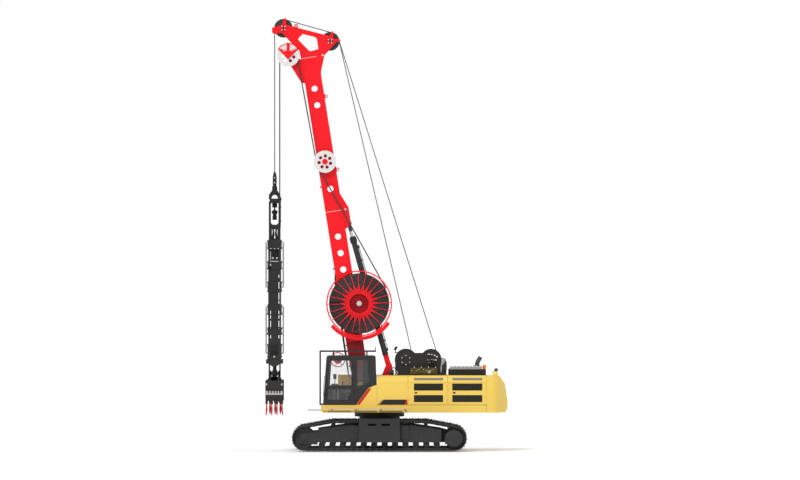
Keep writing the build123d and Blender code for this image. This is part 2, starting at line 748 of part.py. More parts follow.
def cab_guard():
    """Falling-object guard over the roof and a barred screen before the windscreen."""
    low, high = CAB_Y
    bar = GUARD_BAR / 2
    rails = (low + bar, high - bar)
    top = (GUARD_Z - bar, GUARD_Z + bar)
    screen = (GUARD_FRONT - GUARD_BAR, GUARD_FRONT)
    bars = [block((GUARD_REAR, GUARD_FRONT), (y - bar, y + bar), top) for y in rails]
    pitch = (GUARD_FRONT - GUARD_REAR - GUARD_BAR) / GUARD_SLATS
    for index in range(GUARD_SLATS + 1):
        x = GUARD_REAR + index * pitch
        bars.append(block((x, x + GUARD_BAR), (low, high), top))
    for x in (450, 1650):
        for y in (low + 100, high - 100):
            bars.append(block((x - bar, x + bar), (y - bar, y + bar), (CAB_ROOF, GUARD_Z)))
    for index in range(5):
        y = rails[0] + (rails[1] - rails[0]) * index / 4
        bars.append(block(screen, (y - 20, y + 20), (CAB_BASE, GUARD_Z)))
    for z in (CAB_BASE + 20, 2300, 2900):
        bars.append(block(screen, (low, high), (z - 20, z + 20)))
    for y in rails:
        bars.append(block((DECK_FRONT - 48, screen[0] + bar), (y - 20, y + 20), (DECK_TOP, CAB_BASE + 40)))
    bars.append(block((GUARD_REAR, GUARD_REAR + 30), (high - 80, high), (GUARD_Z, GUARD_Z + 150)))
    return fused(bars)


def operator_seat():
    """Seat on its pedestal with both consoles."""
    low, high = CAB_Y
    mid = (low + high) / 2
    floor = CAB_BASE + CAB_WALL
    seat = block((900, 1350), (mid - 240, mid + 240), (floor + 380, floor + 500))
    seat += block((820, 930), (mid - 230, mid + 230), (floor + 420, floor + 1150))
    seat += block((950, 1250), (mid - 180, mid + 180), (floor, floor + 390))
    for y in (mid - 310, mid + 310):
        seat += block((900, 1400), (y - 70, y + 70), (floor + 380, floor + 640))
    return seat


def cab_corner_cover():
    """Painted cover that fills the corner behind the cab's sloping lower edge."""
    low, high = CAB_Y
    rear = HOUSE_FRONT + 5
    shape = outline(
        [(rear, DECK_TOP), (rear, 2398), (98, 2393), (398, 2272), (832, DECK_TOP + 8), (832, DECK_TOP)]
    )
    return side_slab(shape, low, high + 10)


def catwalks():
    """Side walkways on brackets and the step plate that reaches ahead of the cab."""
    pieces = []
    low, high = CATWALK_Z, CATWALK_Z + 35
    for side in (1, -1):
        edge = sorted((side * HALF_WIDTH, side * (HALF_WIDTH + CATWALK_WIDTH)))
        walk = [block(CATWALK_X, edge, (low, high))]
        for index in range(4):
            x = CATWALK_X[0] + 50 + index * (CATWALK_X[1] - CATWALK_X[0] - 200) / 3
            walk.append(block((x, x + 60), edge, (RING_Z[1] + 20, low)))
        pieces.append(fused(walk))
    reach = DECK_FRONT + FRONT_STEP
    step = block((DECK_FRONT, reach), (CAB_Y[0], HALF_WIDTH), (low - 15, low + 10))
    pieces.append(step + block((reach - 15, reach), (CAB_Y[0], HALF_WIDTH), (low - 40, low)))
    return pieces


def lamps():
    """Warning beacon on the cooler housing and the camera on the tail's left eye."""
    x, z = LIFT_EYE
    beacon = outline([(0, 0), (45, 0), (45, 30), (60, 45), (60, 130), (35, 165), (0, 165)])
    beacon = revolve(Plane.XZ * beacon, Axis.Z)
    stand = z + LIFT_EYE_OUTER
    camera = block((x - 80, x + 40), (LIFT_EYE_Y - 60, LIFT_EYE_Y + 60), (stand, stand + 95))
    return [Pos(HOUSE_REAR + 104, 560, RADIATOR_TOP) * beacon, camera]


# Boom


def boom_section(profile, holes):
    """A welded box between two side plates, lightened by round holes."""
    half = BOOM_WIDTH / 2
    shell = side_slab(profile, -half, half)
    hollow = offset(profile, amount=-BOOM_PLATE)
    shell -= side_slab(hollow, BOOM_PLATE - half, half - BOOM_PLATE)
    for up in holes:
        shell -= cross_pin(HOLE_RADIUS, (0, up), -half - 10, half + 10)
    return shell


def boom_lower():
    """Foot, straight box and the rear lugs that take the luffing rods."""
    half, depth = BOOM_WIDTH / 2, BOOM_DEPTH / 2
    profile = outline(
        [(depth, 700), (depth, SPLICE_LOW), (-depth, SPLICE_LOW), (-depth, 700), (-150, -120), (150, -120)]
    )
    shell = boom_section(profile, [h for h in HOLE_HEIGHTS if h < SPLICE_LOW])
    fwd, up = LUFF_EYE
    back = fwd - 81
    lug = outline(
        [(-depth, SPLICE_LOW), (back, SPLICE_LOW), (back, up - 20), (fwd + 117, up - 170)]
        + [(-depth, up - 170)]
    )
    for y in (LUFF_Y - 110, LUFF_Y + 70):
        shell += both_sides(side_slab(lug, y, y + 40))
    shell += cross_pin(PIN_RADIUS, LUFF_EYE, -LUFF_Y - 110, LUFF_Y + 110)
    shell += cross_pin(130, (0, 0), -half - 12, half + 12)
    return ON_BOOM * shell


def boom_upper():
    depth = BOOM_DEPTH / 2
    back = LUFF_EYE[0] - 81
    profile = outline(
        [(depth, SPLICE_LOW), (depth, SPLICE_HIGH), (HEAD_BACK, SPLICE_HIGH), (-depth - 14, 11480)]
        + [(-depth, 11300), (-depth, 7041), (back, SPLICE_LOW + 55), (back, SPLICE_LOW)]
    )
    return ON_BOOM * boom_section(profile, [h for h in HOLE_HEIGHTS if h > SPLICE_LOW])


HEAD_PROFILE = [
    (BOOM_DEPTH / 2, SPLICE_HIGH), (334, 12365), (553, 12641), (838, 13076), (1096, 13080), (1190, 13131),
    (1173, 13307), (868, 13350), (647, 13333), (-798, 12704), (-1012, 12480), (-1012, 12422),
    (HEAD_BACK, SPLICE_HIGH),
]
HEAD_WINDOW = [(324, 12772), (114, 12925), (-303, 12749), (-362, 12663), (-359, 12287), (-39, 12259)]


def keeper(place, angle):
    """Pointed arm on a head plate that holds a rope-keeper pin just clear of a sheave's rim."""
    tip = SHEAVE_RADIUS + KEEPER_GAP
    arm = outline([(0, -110), (tip, -KEEPER_PIN - 8), (tip, KEEPER_PIN + 8), (0, 110)])
    return Pos(*place) * Rot(0, 0, angle) * arm


def boom_head():
    """Two head plates with the sheave axles, rope keepers and spacers between them."""
    half = BOOM_WIDTH / 2
    plate = outline(HEAD_PROFILE) - fillet(outline(HEAD_WINDOW).vertices(), 50)
    pieces = []
    for place, angles in ((FRONT_SHEAVE, (109,)), (REAR_SHEAVE, (114, 182))):
        for angle in angles:
            plate += keeper(place, angle)
            pin = polar(place, SHEAVE_RADIUS + KEEPER_GAP - KEEPER_PIN - 8, angle)
            pieces.append(cross_pin(KEEPER_PIN, pin, HEAD_PLATE - half, half - HEAD_PLATE))
        pieces.append(cross_pin(60, place, -half - 25, half + 25))
    plate += Pos(*HEAD_EYE) * (Circle(70) - Circle(32))
    pieces += both_sides(side_slab(plate, half - HEAD_PLATE, half))
    pieces.append(block((HEAD_BACK, BOOM_DEPTH / 2), (-half, half), (SPLICE_HIGH, SPLICE_HIGH + HEAD_PLATE)))
    for place in HEAD_SPACERS:
        pieces.append(cross_pin(50, place, 10 - half, half - 10))
    return ON_BOOM * fused(pieces)


def sheave_pair(place):
    """Two grooved sheaves on one hub."""
    wheel = cross_pin(90, place, -ROPE_Y - SHEAVE_WIDTH / 2, ROPE_Y + SHEAVE_WIDTH / 2)
    for y in (ROPE_Y, -ROPE_Y):
        half = SHEAVE_WIDTH / 2
        wheel += cross_pin(SHEAVE_GROOVE, place, y - half, y + half)
        wheel += cross_pin(SHEAVE_RADIUS, place, y - half, y - half + 22)
        wheel += cross_pin(SHEAVE_RADIUS, place, y + half - 22, y + half)
    wheel -= cross_pin(60 + CLEAR, place, -half - 400, half + 400)
    return ON_BOOM * wheel


def hose_pulley(place):
    """Wide-grooved pulley with a ring of holes through its web."""
    half = PULLEY_WIDTH / 2
    wheel = cross_pin(PULLEY_GROOVE - CLEAR, place, HOSE_Y - half, HOSE_Y + half)
    for y in (HOSE_Y - half, HOSE_Y + half - 18):
        wheel += cross_pin(PULLEY_RADIUS, place, y, y + 18)
    for index in range(7):
        wheel -= cross_pin(60, polar(place, 210, index * 360 / 7), HOSE_Y - half - 5, HOSE_Y + half + 5)
    wheel -= cross_pin(50 + CLEAR, place, HOSE_Y - half - 5, HOSE_Y + half + 5)
    return ON_BOOM * wheel


def pulley_bracket():
    """Axles of both hose pulleys, the top one's arm and its guard: a pointed cap under a curved hood."""
    half = BOOM_WIDTH / 2
    inner = HOSE_Y - PULLEY_WIDTH / 2 - 12
    outer = HOSE_Y + PULLEY_WIDTH / 2 + 12
    depth = BOOM_DEPTH / 2
    arm = outline(
        [(depth, 11150), (430, 11180), (850, 12150), (800, 12330), (640, 12330), (depth, 12000)]
    )
    top = side_slab(arm, half, inner)
    top += cross_pin(50, TOP_PULLEY, half, outer + 12)
    hood = Circle(PULLEY_RADIUS + HOOD_GAP + HOOD_PLATE) - Circle(PULLEY_RADIUS + HOOD_GAP)
    reach = 2 * PULLEY_RADIUS
    ends = [polar((0, 0), reach, end) for end in HOOD_ARC]
    hood &= outline([(0, 0), ends[0], (0, reach), ends[1]])
    cap = outline([(0, -150), (290, 150), (-290, 150)])
    cap += Pos(0, 290) * Rectangle(110, 320)
    rim = PULLEY_RADIUS + HOOD_GAP + HOOD_PLATE / 2
    for end in HOOD_ARC:
        ends = [polar((0, 0), rim, end - 4), polar((0, 0), rim, end + 4)]
        cap += outline([(0, 60), *ends]) + outline([(0, 140), *ends])
    place = Pos(*TOP_PULLEY) * Rot(0, 0, BOOM_LEAN)
    top += side_slab(place * (cap + hood), outer, outer + 12)
    top += side_slab(place * hood, inner - 12, outer)
    mid = cross_pin(50, MID_PULLEY, half, outer + 12) + cross_pin(100, MID_PULLEY, half, inner)
    mid += cross_pin(100, MID_PULLEY, outer, outer + 12)
    return [ON_BOOM * top, ON_BOOM * mid]


def reel_wheel_sketch():
    """One side of the reel: rim and tapered spokes that spread into the hub's star."""
    wheel = Circle(REEL_RADIUS) - Circle(REEL_RADIUS - REEL_RIM)
    wheel += Circle(REEL_HUB + 60) - Circle(REEL_HUB - 25)
    tip = REEL_RADIUS - REEL_RIM / 2
    base, point = REEL_STAR
    half = [(REEL_HUB, 48), (base, 59), (point, 12), (tip, 10)]
    spoke = outline([(x, -y) for x, y in half] + half[::-1])
    for index in range(REEL_SPOKES):
        wheel += Rot(0, 0, (index + 0.5) * 360 / REEL_SPOKES) * spoke
    return Pos(*REEL) * wheel


def hose_reel():
    """Spoked reel: two wheels on a hub drum."""
    low, high = HOSE_Y - REEL_HALF, HOSE_Y + REEL_HALF
    wheel = reel_wheel_sketch()
    reel = side_slab(wheel, low, low + 25) + side_slab(wheel, high - 25, high)
    hub = cross_pin(REEL_HUB + 20, REEL, low, high) - cross_pin(REEL_HUB - 20, REEL, low + 25, high + 5)
    hub += cross_pin(90, REEL, low, high - 30)
    reel = reel + hub - cross_pin(60 + CLEAR, REEL, low - 5, high + 5)
    return ON_BOOM * reel


def reel_hose():
    """Hose wound flat between the reel's wheels."""
    low, high = HOSE_Y - REEL_HALF + 26, HOSE_Y + REEL_HALF - 26
    wound = cross_pin(REEL_WOUND, REEL, low, high)
    return ON_BOOM * (wound - cross_pin(REEL_HUB + 21, REEL, low - 5, high + 5))


def reel_guard():
    """Axle of the reel and the curved guard under it."""
    half = BOOM_WIDTH / 2
    near, far = REEL_GUARD
    sector = outline([REEL, polar(REEL, 1800, -138), polar(REEL, 1800, -90), polar(REEL, 1800, -30)])
    arc = (Pos(*REEL) * Circle(REEL_RADIUS + far) - Pos(*REEL) * Circle(REEL_RADIUS + near)) & sector
    guard = side_slab(arc, HOSE_Y - REEL_HALF - 10, HOSE_Y + REEL_HALF + 10)
    x, up = REEL
    low = up - REEL_RADIUS
    arm = block((x + 60, x + 640), (half, HOSE_Y - REEL_HALF + 5), (low - 140, low - 40))
    axle = cross_pin(60, REEL, half - 60, HOSE_Y + REEL_HALF - 20)
    axle += block((x - 90, -BOOM_DEPTH / 2), (half - 200, half + 20), (up - 110, up + 110))
    return [ON_BOOM * (guard + arm), ON_BOOM * axle]


def cable_reel():
    """Small spoked reel for the sensor cable."""
    wheel = Circle(CABLE_REEL_RADIUS) - Circle(CABLE_REEL_RADIUS - 35) + Circle(80)
    for index in range(6):
        wheel += Rot(0, 0, index * 60) * Rectangle(2 * CABLE_REEL_RADIUS - 30, 24)
    wheel = Pos(*CABLE_REEL) * wheel
    reel = side_slab(wheel, -70, -50) + side_slab(wheel, 50, 70)
    reel += cross_pin(150, CABLE_REEL, -60, 60)
    return ON_BOOM * (reel - cross_pin(30 + CLEAR, CABLE_REEL, -200, 200))


def cable_reel_stand():
    """Fork on the boom's front face that holds the cable reel's pin."""
    fwd, up = CABLE_REEL
    fork = [block((BOOM_DEPTH / 2, fwd + 50), (y - 10, y + 10), (up - 50, up + 50)) for y in (-95, 95)]
    return ON_BOOM * fused([*fork, cross_pin(30, CABLE_REEL, -95, 95)])


# Ropes and hoses


def rope_line():
    """Rope radius on the sheaves and drums."""
    return SHEAVE_GROOVE + ROPE_DIAMETER / 2 + CLEAR


def winch_ropes():
    """Both ropes from the drums up to the rear sheaves."""
    ropes = []
    head = boom_point(REAR_SHEAVE)
    for place, y in zip(WINCH_DRUMS, (ROPE_Y, -ROPE_Y)):
        start, end = tangent(place, DRUM_RADIUS + ROPE_DIAMETER / 2 + CLEAR, head, rope_line(), 1)
        ropes.append(bar_between(start, end, ROPE_DIAMETER / 2, y))
    return ropes


def head_ropes():
    """Both ropes along the top of the boom head."""
    front, rear = boom_point(FRONT_SHEAVE), boom_point(REAR_SHEAVE)
    start, end = tangent(rear, rope_line(), front, rope_line(), 1)
    return [bar_between(start, end, ROPE_DIAMETER / 2, y) for y in (ROPE_Y, -ROPE_Y)]


def rope_falls():
    """Both ropes from the front sheaves down to the grab's sockets."""
    top = boom_point(FRONT_SHEAVE)[1]
    rows = (ROPE_Y, -ROPE_Y)
    return [bar_between((GRAB_X, SOCKET_TOP), (GRAB_X, top), ROPE_DIAMETER / 2, y) for y in rows]


HOSE_LINE = PULLEY_GROOVE + HOSE_DIAMETER / 2 + CLEAR
HOSE_X = boom_point(TOP_PULLEY)[0] + HOSE_LINE
HOSE_END = GRAB_TOP_Z[1] + 140
HOSE_START = 500


def hose_falls():
    top = boom_point(TOP_PULLEY)[1] - HOSE_START
    rows = (HOSE_Y - HOSE_GAP / 2, HOSE_Y + HOSE_GAP / 2)
    return [bar_between((HOSE_X, HOSE_END), (HOSE_X, top), HOSE_DIAMETER / 2, y) for y in rows]


def hose_run():
    """Both hoses from the reel past the middle pulley and up to the top pulley."""
    runs = []
    reel, mid, top = (boom_point(p) for p in (REEL, MID_PULLEY, TOP_PULLEY))
    leave, touch = tangent(reel, REEL_WOUND + HOSE_DIAMETER / 2 + CLEAR, mid, HOSE_LINE, 1, crossed=True)
    rise, arrive = tangent(mid, HOSE_LINE, top, HOSE_LINE, -1, crossed=True)
    for y in (HOSE_Y - HOSE_GAP / 2, HOSE_Y + HOSE_GAP / 2):
        runs.append(bar_between(leave, touch, HOSE_DIAMETER / 2, y))
        runs.append(bar_between(rise, arrive, HOSE_DIAMETER / 2, y))
    return runs


# Luffing cylinders


LUFF_TOP = boom_point(LUFF_EYE)
LUFF_LENGTH = math.dist(LUFF_BASE, LUFF_TOP)
LUFF_LEAN = math.degrees(math.atan2(LUFF_TOP[0] - LUFF_BASE[0], LUFF_TOP[1] - LUFF_BASE[1]))
ON_LUFF = Pos(LUFF_BASE[0], 0, LUFF_BASE[1]) * Rot(0, LUFF_LEAN, 0)
BARREL_Z = (420, 4720)
EYE_HALF = 55


def luff_barrels():
    """Both barrels with their base clevis eyes, on one cross tie."""
    pieces = []
    for y in (LUFF_Y, -LUFF_Y):
        low, high = BARREL_Z
        tube = Pos(0, y, (low + high) / 2) * Cylinder(BARREL_RADIUS, high - low)
        tube -= Pos(0, y, (low + 60 + high) / 2 + 30) * Cylinder(ROD_RADIUS + CLEAR, high - low)
        eye = cross_pin(95, (0, 0), y - EYE_HALF, y + EYE_HALF) + Pos(0, y, 260) * Box(190, 90, 420)
        eye -= cross_pin(PIN_RADIUS + CLEAR, (0, 0), y - 200, y + 200)
        pieces.append(ON_LUFF * (tube + eye))
    return pieces


def luff_rods():
    pieces = []
    for y in (LUFF_Y, -LUFF_Y):
        rod = Pos(0, y, (LUFF_LENGTH - 60 + 2600) / 2) * Cylinder(ROD_RADIUS, LUFF_LENGTH - 60 - 2600)
        eye = cross_pin(PIN_RADIUS + PIN_PLAY + 45, (0, LUFF_LENGTH), y - EYE_HALF, y + EYE_HALF)
        rod = rod + eye - cross_pin(PIN_RADIUS + PIN_PLAY, (0, LUFF_LENGTH), y - 200, y + 200)
        pieces.append(ON_LUFF * rod)
    return pieces


# Grab, drawn about its own middle: Y across its width, Z true height


def grab_body():
    """Hollow body: collars, windows through the broad faces, slots and an opening in the end walls."""
    low, high = GRAB_BODY_Z
    t, half, wide = GRAB_PLATE, GRAB_BODY_X, GRAB_HALF
    body = block((-half, half), (-wide, wide), (low, high))
    rim = wide + COLLAR_RISE
    for collar in COLLARS:
        body += block((-GRAB_COLLAR_X, GRAB_COLLAR_X), (-rim, rim), collar)
    body -= block((t - half, half - t), (t - wide, wide - t), (low - 10, high - t))
    for below, above in zip(COLLARS, COLLARS[1:]):
        z_low, z_high = below[1] + WINDOW_EDGE, above[0] - WINDOW_EDGE
        window = Pos(0, (z_low + z_high) / 2) * RectangleRounded(WINDOW_WIDTH, z_high - z_low, 50)
        for y in (-WINDOW_Y, WINDOW_Y):
            body -= front_slab(Pos(y, 0) * window, -half - 10, half + 10)
    reach = rim + 5
    for x, rows in END_SLOTS.items():
        for row in rows:
            body -= block((x - SLOT_HALF, x + SLOT_HALF), (-reach, reach), row)
    body -= block((-150, 150), (-reach, reach), (COLLARS[-2][1] + 30, COLLARS[-1][0] - 15))
    panel = (COLLARS[0][0] + 110, COLLARS[0][1] - 20)
    body -= both_sides(block((-130, 130), (rim - 12, reach), panel))
    return body


def grab_foot():
    """Bottom flange, its pointed end plates and the neck plates with the jaws' pivot pins."""
    low = GRAB_BODY_Z[0]
    bottom = low - FLANGE_HEIGHT
    flange = block((-300, 300), (-GRAB_HALF, GRAB_HALF), (bottom, low))
    foot = flange - block((-160, 160), (-850, 850), (bottom - 10, low + 10))
    shield = outline([(-215, bottom), (215, bottom), (0, bottom - 150)])
    foot += both_sides(side_slab(shield, GRAB_HALF - 40, GRAB_HALF))
    y, z = JAW_PIVOT
    plate = outline([(-800, bottom), (-420, z - 130), (420, z - 130), (800, bottom)])
    for x in (-212, 172):
        foot += front_slab(plate, x, x + 40)
    for side in (1, -1):
        foot += long_pin(60, (side * y, z), -212, 212)
    return foot


def grab_frame():
    """Tall body, jaw carrier below it, and above it the pierced neck and the open top frame."""
    high = GRAB_BODY_Z[1]
    low, top = GRAB_TOP_Z
    half = NECK_X
    neck = block((-half, half), (-GRAB_NECK_HALF, GRAB_NECK_HALF), (high, low))
    neck -= block((-105, 105), (-500, 500), (high + 60, low - 50))
    opening = Pos(0, (low + top) / 2 + 25) * Rectangle(2 * (half - FRAME_LEG), top - low - 190)
    opening = fillet(opening.vertices().group_by(Axis.Y)[0], 100)
    ring = Pos(0, (low + top) / 2) * Rectangle(2 * half, top - low) - opening
    frame = side_slab(ring, -GRAB_NECK_HALF, GRAB_NECK_HALF)
    window = Pos(0, (low + top) / 2) * RectangleRounded(560, top - low - 340, 90)
    frame -= front_slab(window, -half - 10, half + 10)
    frame -= Pos(0, 0, top) * Cylinder(SWIVEL_RADIUS + CLEAR, 200)
    return AT_GRAB * fused([grab_body(), grab_foot(), neck, frame])


def grab_head():
    """Bell-shaped yoke with the swivel hung below it and the turned rope sockets above it."""
    top = GRAB_TOP_Z[1]
    base = block((-178, 178), (-GRAB_NECK_HALF, GRAB_NECK_HALF), (top, top + 75))
    bell = outline(
        [(-NECK_X, top + 75), (NECK_X, top + 75), (NECK_X, top + 228), (80, BELL_TOP), (-80, BELL_TOP)]
        + [(-NECK_X, top + 228)]
    )
    arch = Pos(0, top + 110) * Rectangle(240, 20) + Pos(0, top + 120) * Circle(110)
    arch &= Pos(0, top + 300) * Rectangle(300, 400)
    head = base + side_slab(bell - arch, -260, 260)
    port = HOSE_X - GRAB_X
    head += block((port - 60, port + 60), (GRAB_NECK_HALF - 40, 490), (top + 20, HOSE_END))
    swivel = outline(
        [(0, 8300), (80, 8300), (80, 8440), (62, 8480), (115, 8580), (115, 8610), (25, 8670), (25, 8745)]
        + [(SWIVEL_RADIUS, 8745), (SWIVEL_RADIUS, top + 10), (0, top + 10)]
    )
    head += revolve(Plane.XZ * swivel, Axis.Z)
    socket = outline(
        [(0, BELL_TOP - 10), (92, BELL_TOP - 10), (92, BELL_TOP + 120), (60, BELL_TOP + 150)]
        + [(71, BELL_TOP + 190), (71, SOCKET_TOP - 170), (34, SOCKET_TOP), (0, SOCKET_TOP)]
    )
    socket = revolve(Plane.XZ * socket, Axis.Z)
    for y in (ROPE_Y, -ROPE_Y):
        head += Pos(0, y, 0) * socket
    return AT_GRAB * head


def grab_guides():
    """Guide plates held off both broad faces of the body by thin rungs on its collars."""
    guides = []
    inner, outer = GRAB_COLLAR_X, GRAB_GUIDE_X
    for collars in (COLLARS[:3], COLLARS[3:]):
        span = (collars[0][0] + GUIDE_END, collars[-1][1] - GUIDE_END / 2)
        for y in (-GUIDE_Y, GUIDE_Y):
            guide = block((outer - GUIDE_PLATE, outer), (y - 130, y + 130), span)
            for low, high in collars:
                for z in (max(low, span[0]), min(high, span[1]) - RUNG):
                    guide += block((inner, outer - GUIDE_PLATE), (y - 130, y + 130), (z, z + RUNG))
            guides += [guide, mirror(guide, about=Plane.YZ)]
    return [AT_GRAB * g for g in guides]


def jaw_sector(radius):
    """Wedge from the pivot that bounds a jaw's shell between its lip and its top edge."""
    middle = (JAW_LIP_ANGLE + JAW_TOP_ANGLE) / 2
    far = radius / math.cos(math.radians((JAW_TOP_ANGLE - JAW_LIP_ANGLE) / 2))
    return outline(
        [JAW_PIVOT, polar(JAW_PIVOT, radius, JAW_LIP_ANGLE), polar(JAW_PIVOT, far, middle)]
        + [polar(JAW_PIVOT, radius, JAW_TOP_ANGLE)]
    )


def jaw_ring(inner, outer):
    return Pos(*JAW_PIVOT) * (Circle(outer) - Circle(inner))


def tooth_places(side):
    """Places of a jaw's teeth along its lip and how far each tip flares outwards."""
    if side > 0:
        corner = (TOOTH_OUTER, TOOTH_FLARE)
        return ((-corner[0], -corner[1]), (-TOOTH_PITCH / 2, 0), (TOOTH_PITCH / 2, 0), corner)
    return ((-TOOTH_PITCH, 0), (0, 0), (TOOTH_PITCH, 0))


def jaw_body(side):
    """A +Y jaw, open: hub, ribs, curved shell with drain slots, cheeks, and notches for the other teeth."""
    inner = JAW_RADIUS - JAW_SHELL
    wedge = jaw_sector(JAW_RADIUS * 1.05)
    shell = front_slab(jaw_ring(inner, JAW_RADIUS) & wedge, -JAW_HALF_X, JAW_HALF_X)
    cheek = front_slab(jaw_ring(480, JAW_RADIUS - 5) & wedge, JAW_HALF_X - 30, JAW_HALF_X)
    shell += [cheek, mirror(cheek, about=Plane.YZ)]
    for low, high in ((-285, -187), (-142, -22), (22, 142), (187, 285)):
        shell -= block((low, high), (JAW_PIVOT[0] + 900, JAW_PIVOT[0] + JAW_RADIUS), DRAIN_Z)
    notch = jaw_ring(inner - 100, JAW_RADIUS + 10)
    low, high = JAW_LIP_ANGLE - 2, JAW_LIP_ANGLE + NOTCH_ANGLE
    notch &= outline([JAW_PIVOT, polar(JAW_PIVOT, 1500, low), polar(JAW_PIVOT, 1500, high)])
    for x, flare in tooth_places(-side):
        left, right = sorted((x - TOOTH_NOTCH, x + TOOTH_NOTCH))
        if flare:
            left, right = (left, JAW_HALF_X + 5) if x > 0 else (-JAW_HALF_X - 5, right)
        shell -= front_slab(notch, left, right)
    arm_pin = polar(JAW_PIVOT, JAW_ARM, JAW_CLOSE / 2)
    top, lip = JAW_TOP_ANGLE, JAW_LIP_ANGLE
    rib = outline(
        [polar(JAW_PIVOT, 100, 150), polar(JAW_PIVOT, JAW_ARM + 90, JAW_CLOSE / 2 + 6)]
        + [polar(JAW_PIVOT, inner + 25, angle) for angle in (top - 2, lip / 2, lip + 6)]
        + [polar(JAW_PIVOT, 100, -120)]
    )
    for x in (-165, 125):
        shell += front_slab(rib, x, x + 40)
    spine = jaw_ring(inner - 120, inner + 5) & outline(
        [JAW_PIVOT, polar(JAW_PIVOT, 1500, lip + NOTCH_ANGLE + 2), polar(JAW_PIVOT, 1500, top - 4)]
    )
    shell += front_slab(spine, -20, 20)
    shell += long_pin(110, JAW_PIVOT, -165, 165)
    shell += long_pin(40, arm_pin, -165, 165)
    return shell - long_pin(60 + CLEAR, JAW_PIVOT, -400, 400)


def jaw(side):
    body = jaw_body(side)
    return AT_GRAB * (body if side > 0 else mirror(body, about=Plane.XZ))


def push_rods():
    """Crosshead with the two push rods that turn the jaws, and the piston rod above it."""
    y, z = JAW_PIVOT
    half_turn = math.radians(JAW_CLOSE / 2)
    eye_y = y + JAW_ARM * (1 + math.cos(half_turn)) / 2
    eye_z = z + JAW_ARM * math.sin(half_turn)
    head_z = eye_z + 780
    body = block((-100, 100), (-eye_y - 60, eye_y + 60), (head_z, head_z + 120))
    body += Pos(0, 0, head_z + 500) * Cylinder(70, 900)
    for side in (1, -1):
        body += Pos(0, side * eye_y, (eye_z + head_z) / 2 + 40) * Cylinder(60, head_z - eye_z - 60)
        body += long_pin(112, (side * eye_y, eye_z), -90, 90)
        body -= long_pin(74, (side * eye_y, eye_z), -200, 200)
    return AT_GRAB * body


def jaw_teeth(side):
    """Digging teeth that straddle the lip: narrow shank, wide shoulder, flat tip."""
    edge = polar(JAW_PIVOT, JAW_RADIUS - JAW_SHELL / 2, JAW_LIP_ANGLE)
    body = jaw_body(side)
    teeth = []
    for x, flare in tooth_places(side):
        levels = ((edge[1] + 70, 30, 80, 0), (edge[1] - 205, TOOTH_WIDTH, 70, 0))
        levels += ((edge[1] - TOOTH_LENGTH, 0.55 * TOOTH_WIDTH, 20, flare),)
        faces = [Pos(x + out, edge[0], z) * Rectangle(wide, deep) for z, wide, deep, out in levels]
        tooth = loft(faces, ruled=True) - body
        teeth.append(AT_GRAB * (tooth if side > 0 else mirror(tooth, about=Plane.XZ)))
    return teeth


def grab_cylinder():
    """Barrel that hangs in the body from a cross block and drives the crosshead."""
    tube = Pos(0, 0, 5300) * Cylinder(120, 2700) - Pos(0, 0, 5200) * Cylinder(70 + CLEAR, 2700)
    half = GRAB_BODY_X - GRAB_PLATE
    tube += block((-half, half), (-200, 200), (6500, 6650))
    tube += block((-90, 90), (-160, 160), (6650, 7150))
    return AT_GRAB * tube


def save(name, shape):
    """Writes one node, moved to the part's own origin."""
    solids = shape if isinstance(shape, (list, tuple)) else [shape]
    solids = [s for piece in solids for s in piece.solids()]
    moved = [Pos(SWING_X, 0, 0) * s for s in solids]
    export_step(moved[0] if len(moved) == 1 else Compound(moved), f"parts/{name}.step")


NODES = {
    "car_body": car_body,
    "track_frame_left": lambda: track_frame(1),
    "track_frame_right": lambda: track_frame(-1),
    "track_left": lambda: track(1),
    "track_right": lambda: track(-1),
    "running_gear": running_gear,
    "slew_ring": slew_ring,
    "upper_deck": upper_deck,
    "luff_bracket": luff_bracket,
    "engine_house": engine_house,
    "counterweight": counterweight,
    "engine_block": engine_block,
    "tank_box": tank_box,
    "radiator_box": radiator_box,
    "exhaust": exhaust,
    "winch_frame": winch_frame,
    "cab_shell": cab_shell,
    "cab_glass": cab_glass,
    "cab_guard": cab_guard,
    "cab_door": cab_door,
    "cab_door_glass": cab_door_glass,
    "cab_corner_cover": cab_corner_cover,
    "operator_seat": operator_seat,
    "catwalks": catwalks,
    "lamps": lamps,
    "house_door_left_mid": lambda: house_door("mid", 1),
    "house_door_left_rear": lambda: house_door("rear", 1),
    "house_door_right_mid": lambda: house_door("mid", -1),
    "house_door_right_rear": lambda: house_door("rear", -1),
    "boom_lower": boom_lower,
    "boom_upper": boom_upper,
    "boom_head": boom_head,
    "pulley_bracket": pulley_bracket,
    "reel_guard": reel_guard,
    "cable_reel_stand": cable_reel_stand,
    "hose_run": hose_run,
    "head_ropes": head_ropes,
    "front_sheaves": lambda: sheave_pair(FRONT_SHEAVE),
    "rear_sheaves": lambda: sheave_pair(REAR_SHEAVE),
    "hose_pulley_top": lambda: hose_pulley(TOP_PULLEY),
    "hose_pulley_mid": lambda: hose_pulley(MID_PULLEY),
    "hose_reel": hose_reel,
    "reel_hose": reel_hose,
    "cable_reel": cable_reel,
    "luff_barrels": luff_barrels,
    "luff_rods": luff_rods,
    "winch_drum_front": lambda: winch_drum(WINCH_DRUMS[0]),
    "winch_drum_rear": lambda: winch_drum(WINCH_DRUMS[1]),
    "winch_ropes": winch_ropes,
    "rope_falls": rope_falls,
    "hose_falls": hose_falls,
    "grab_frame": grab_frame,
    "grab_head": grab_head,
    "grab_guides": grab_guides,
    "grab_cylinder": grab_cylinder,
    "jaw_left": lambda: jaw(1),
    "jaw_right": lambda: jaw(-1),
    "jaw_teeth_left": lambda: jaw_teeth(1),
    "jaw_teeth_right": lambda: jaw_teeth(-1),
    "push_rods": push_rods,
}

os.makedirs("parts", exist_ok=True)
for node, make in NODES.items():
    save(node, make())
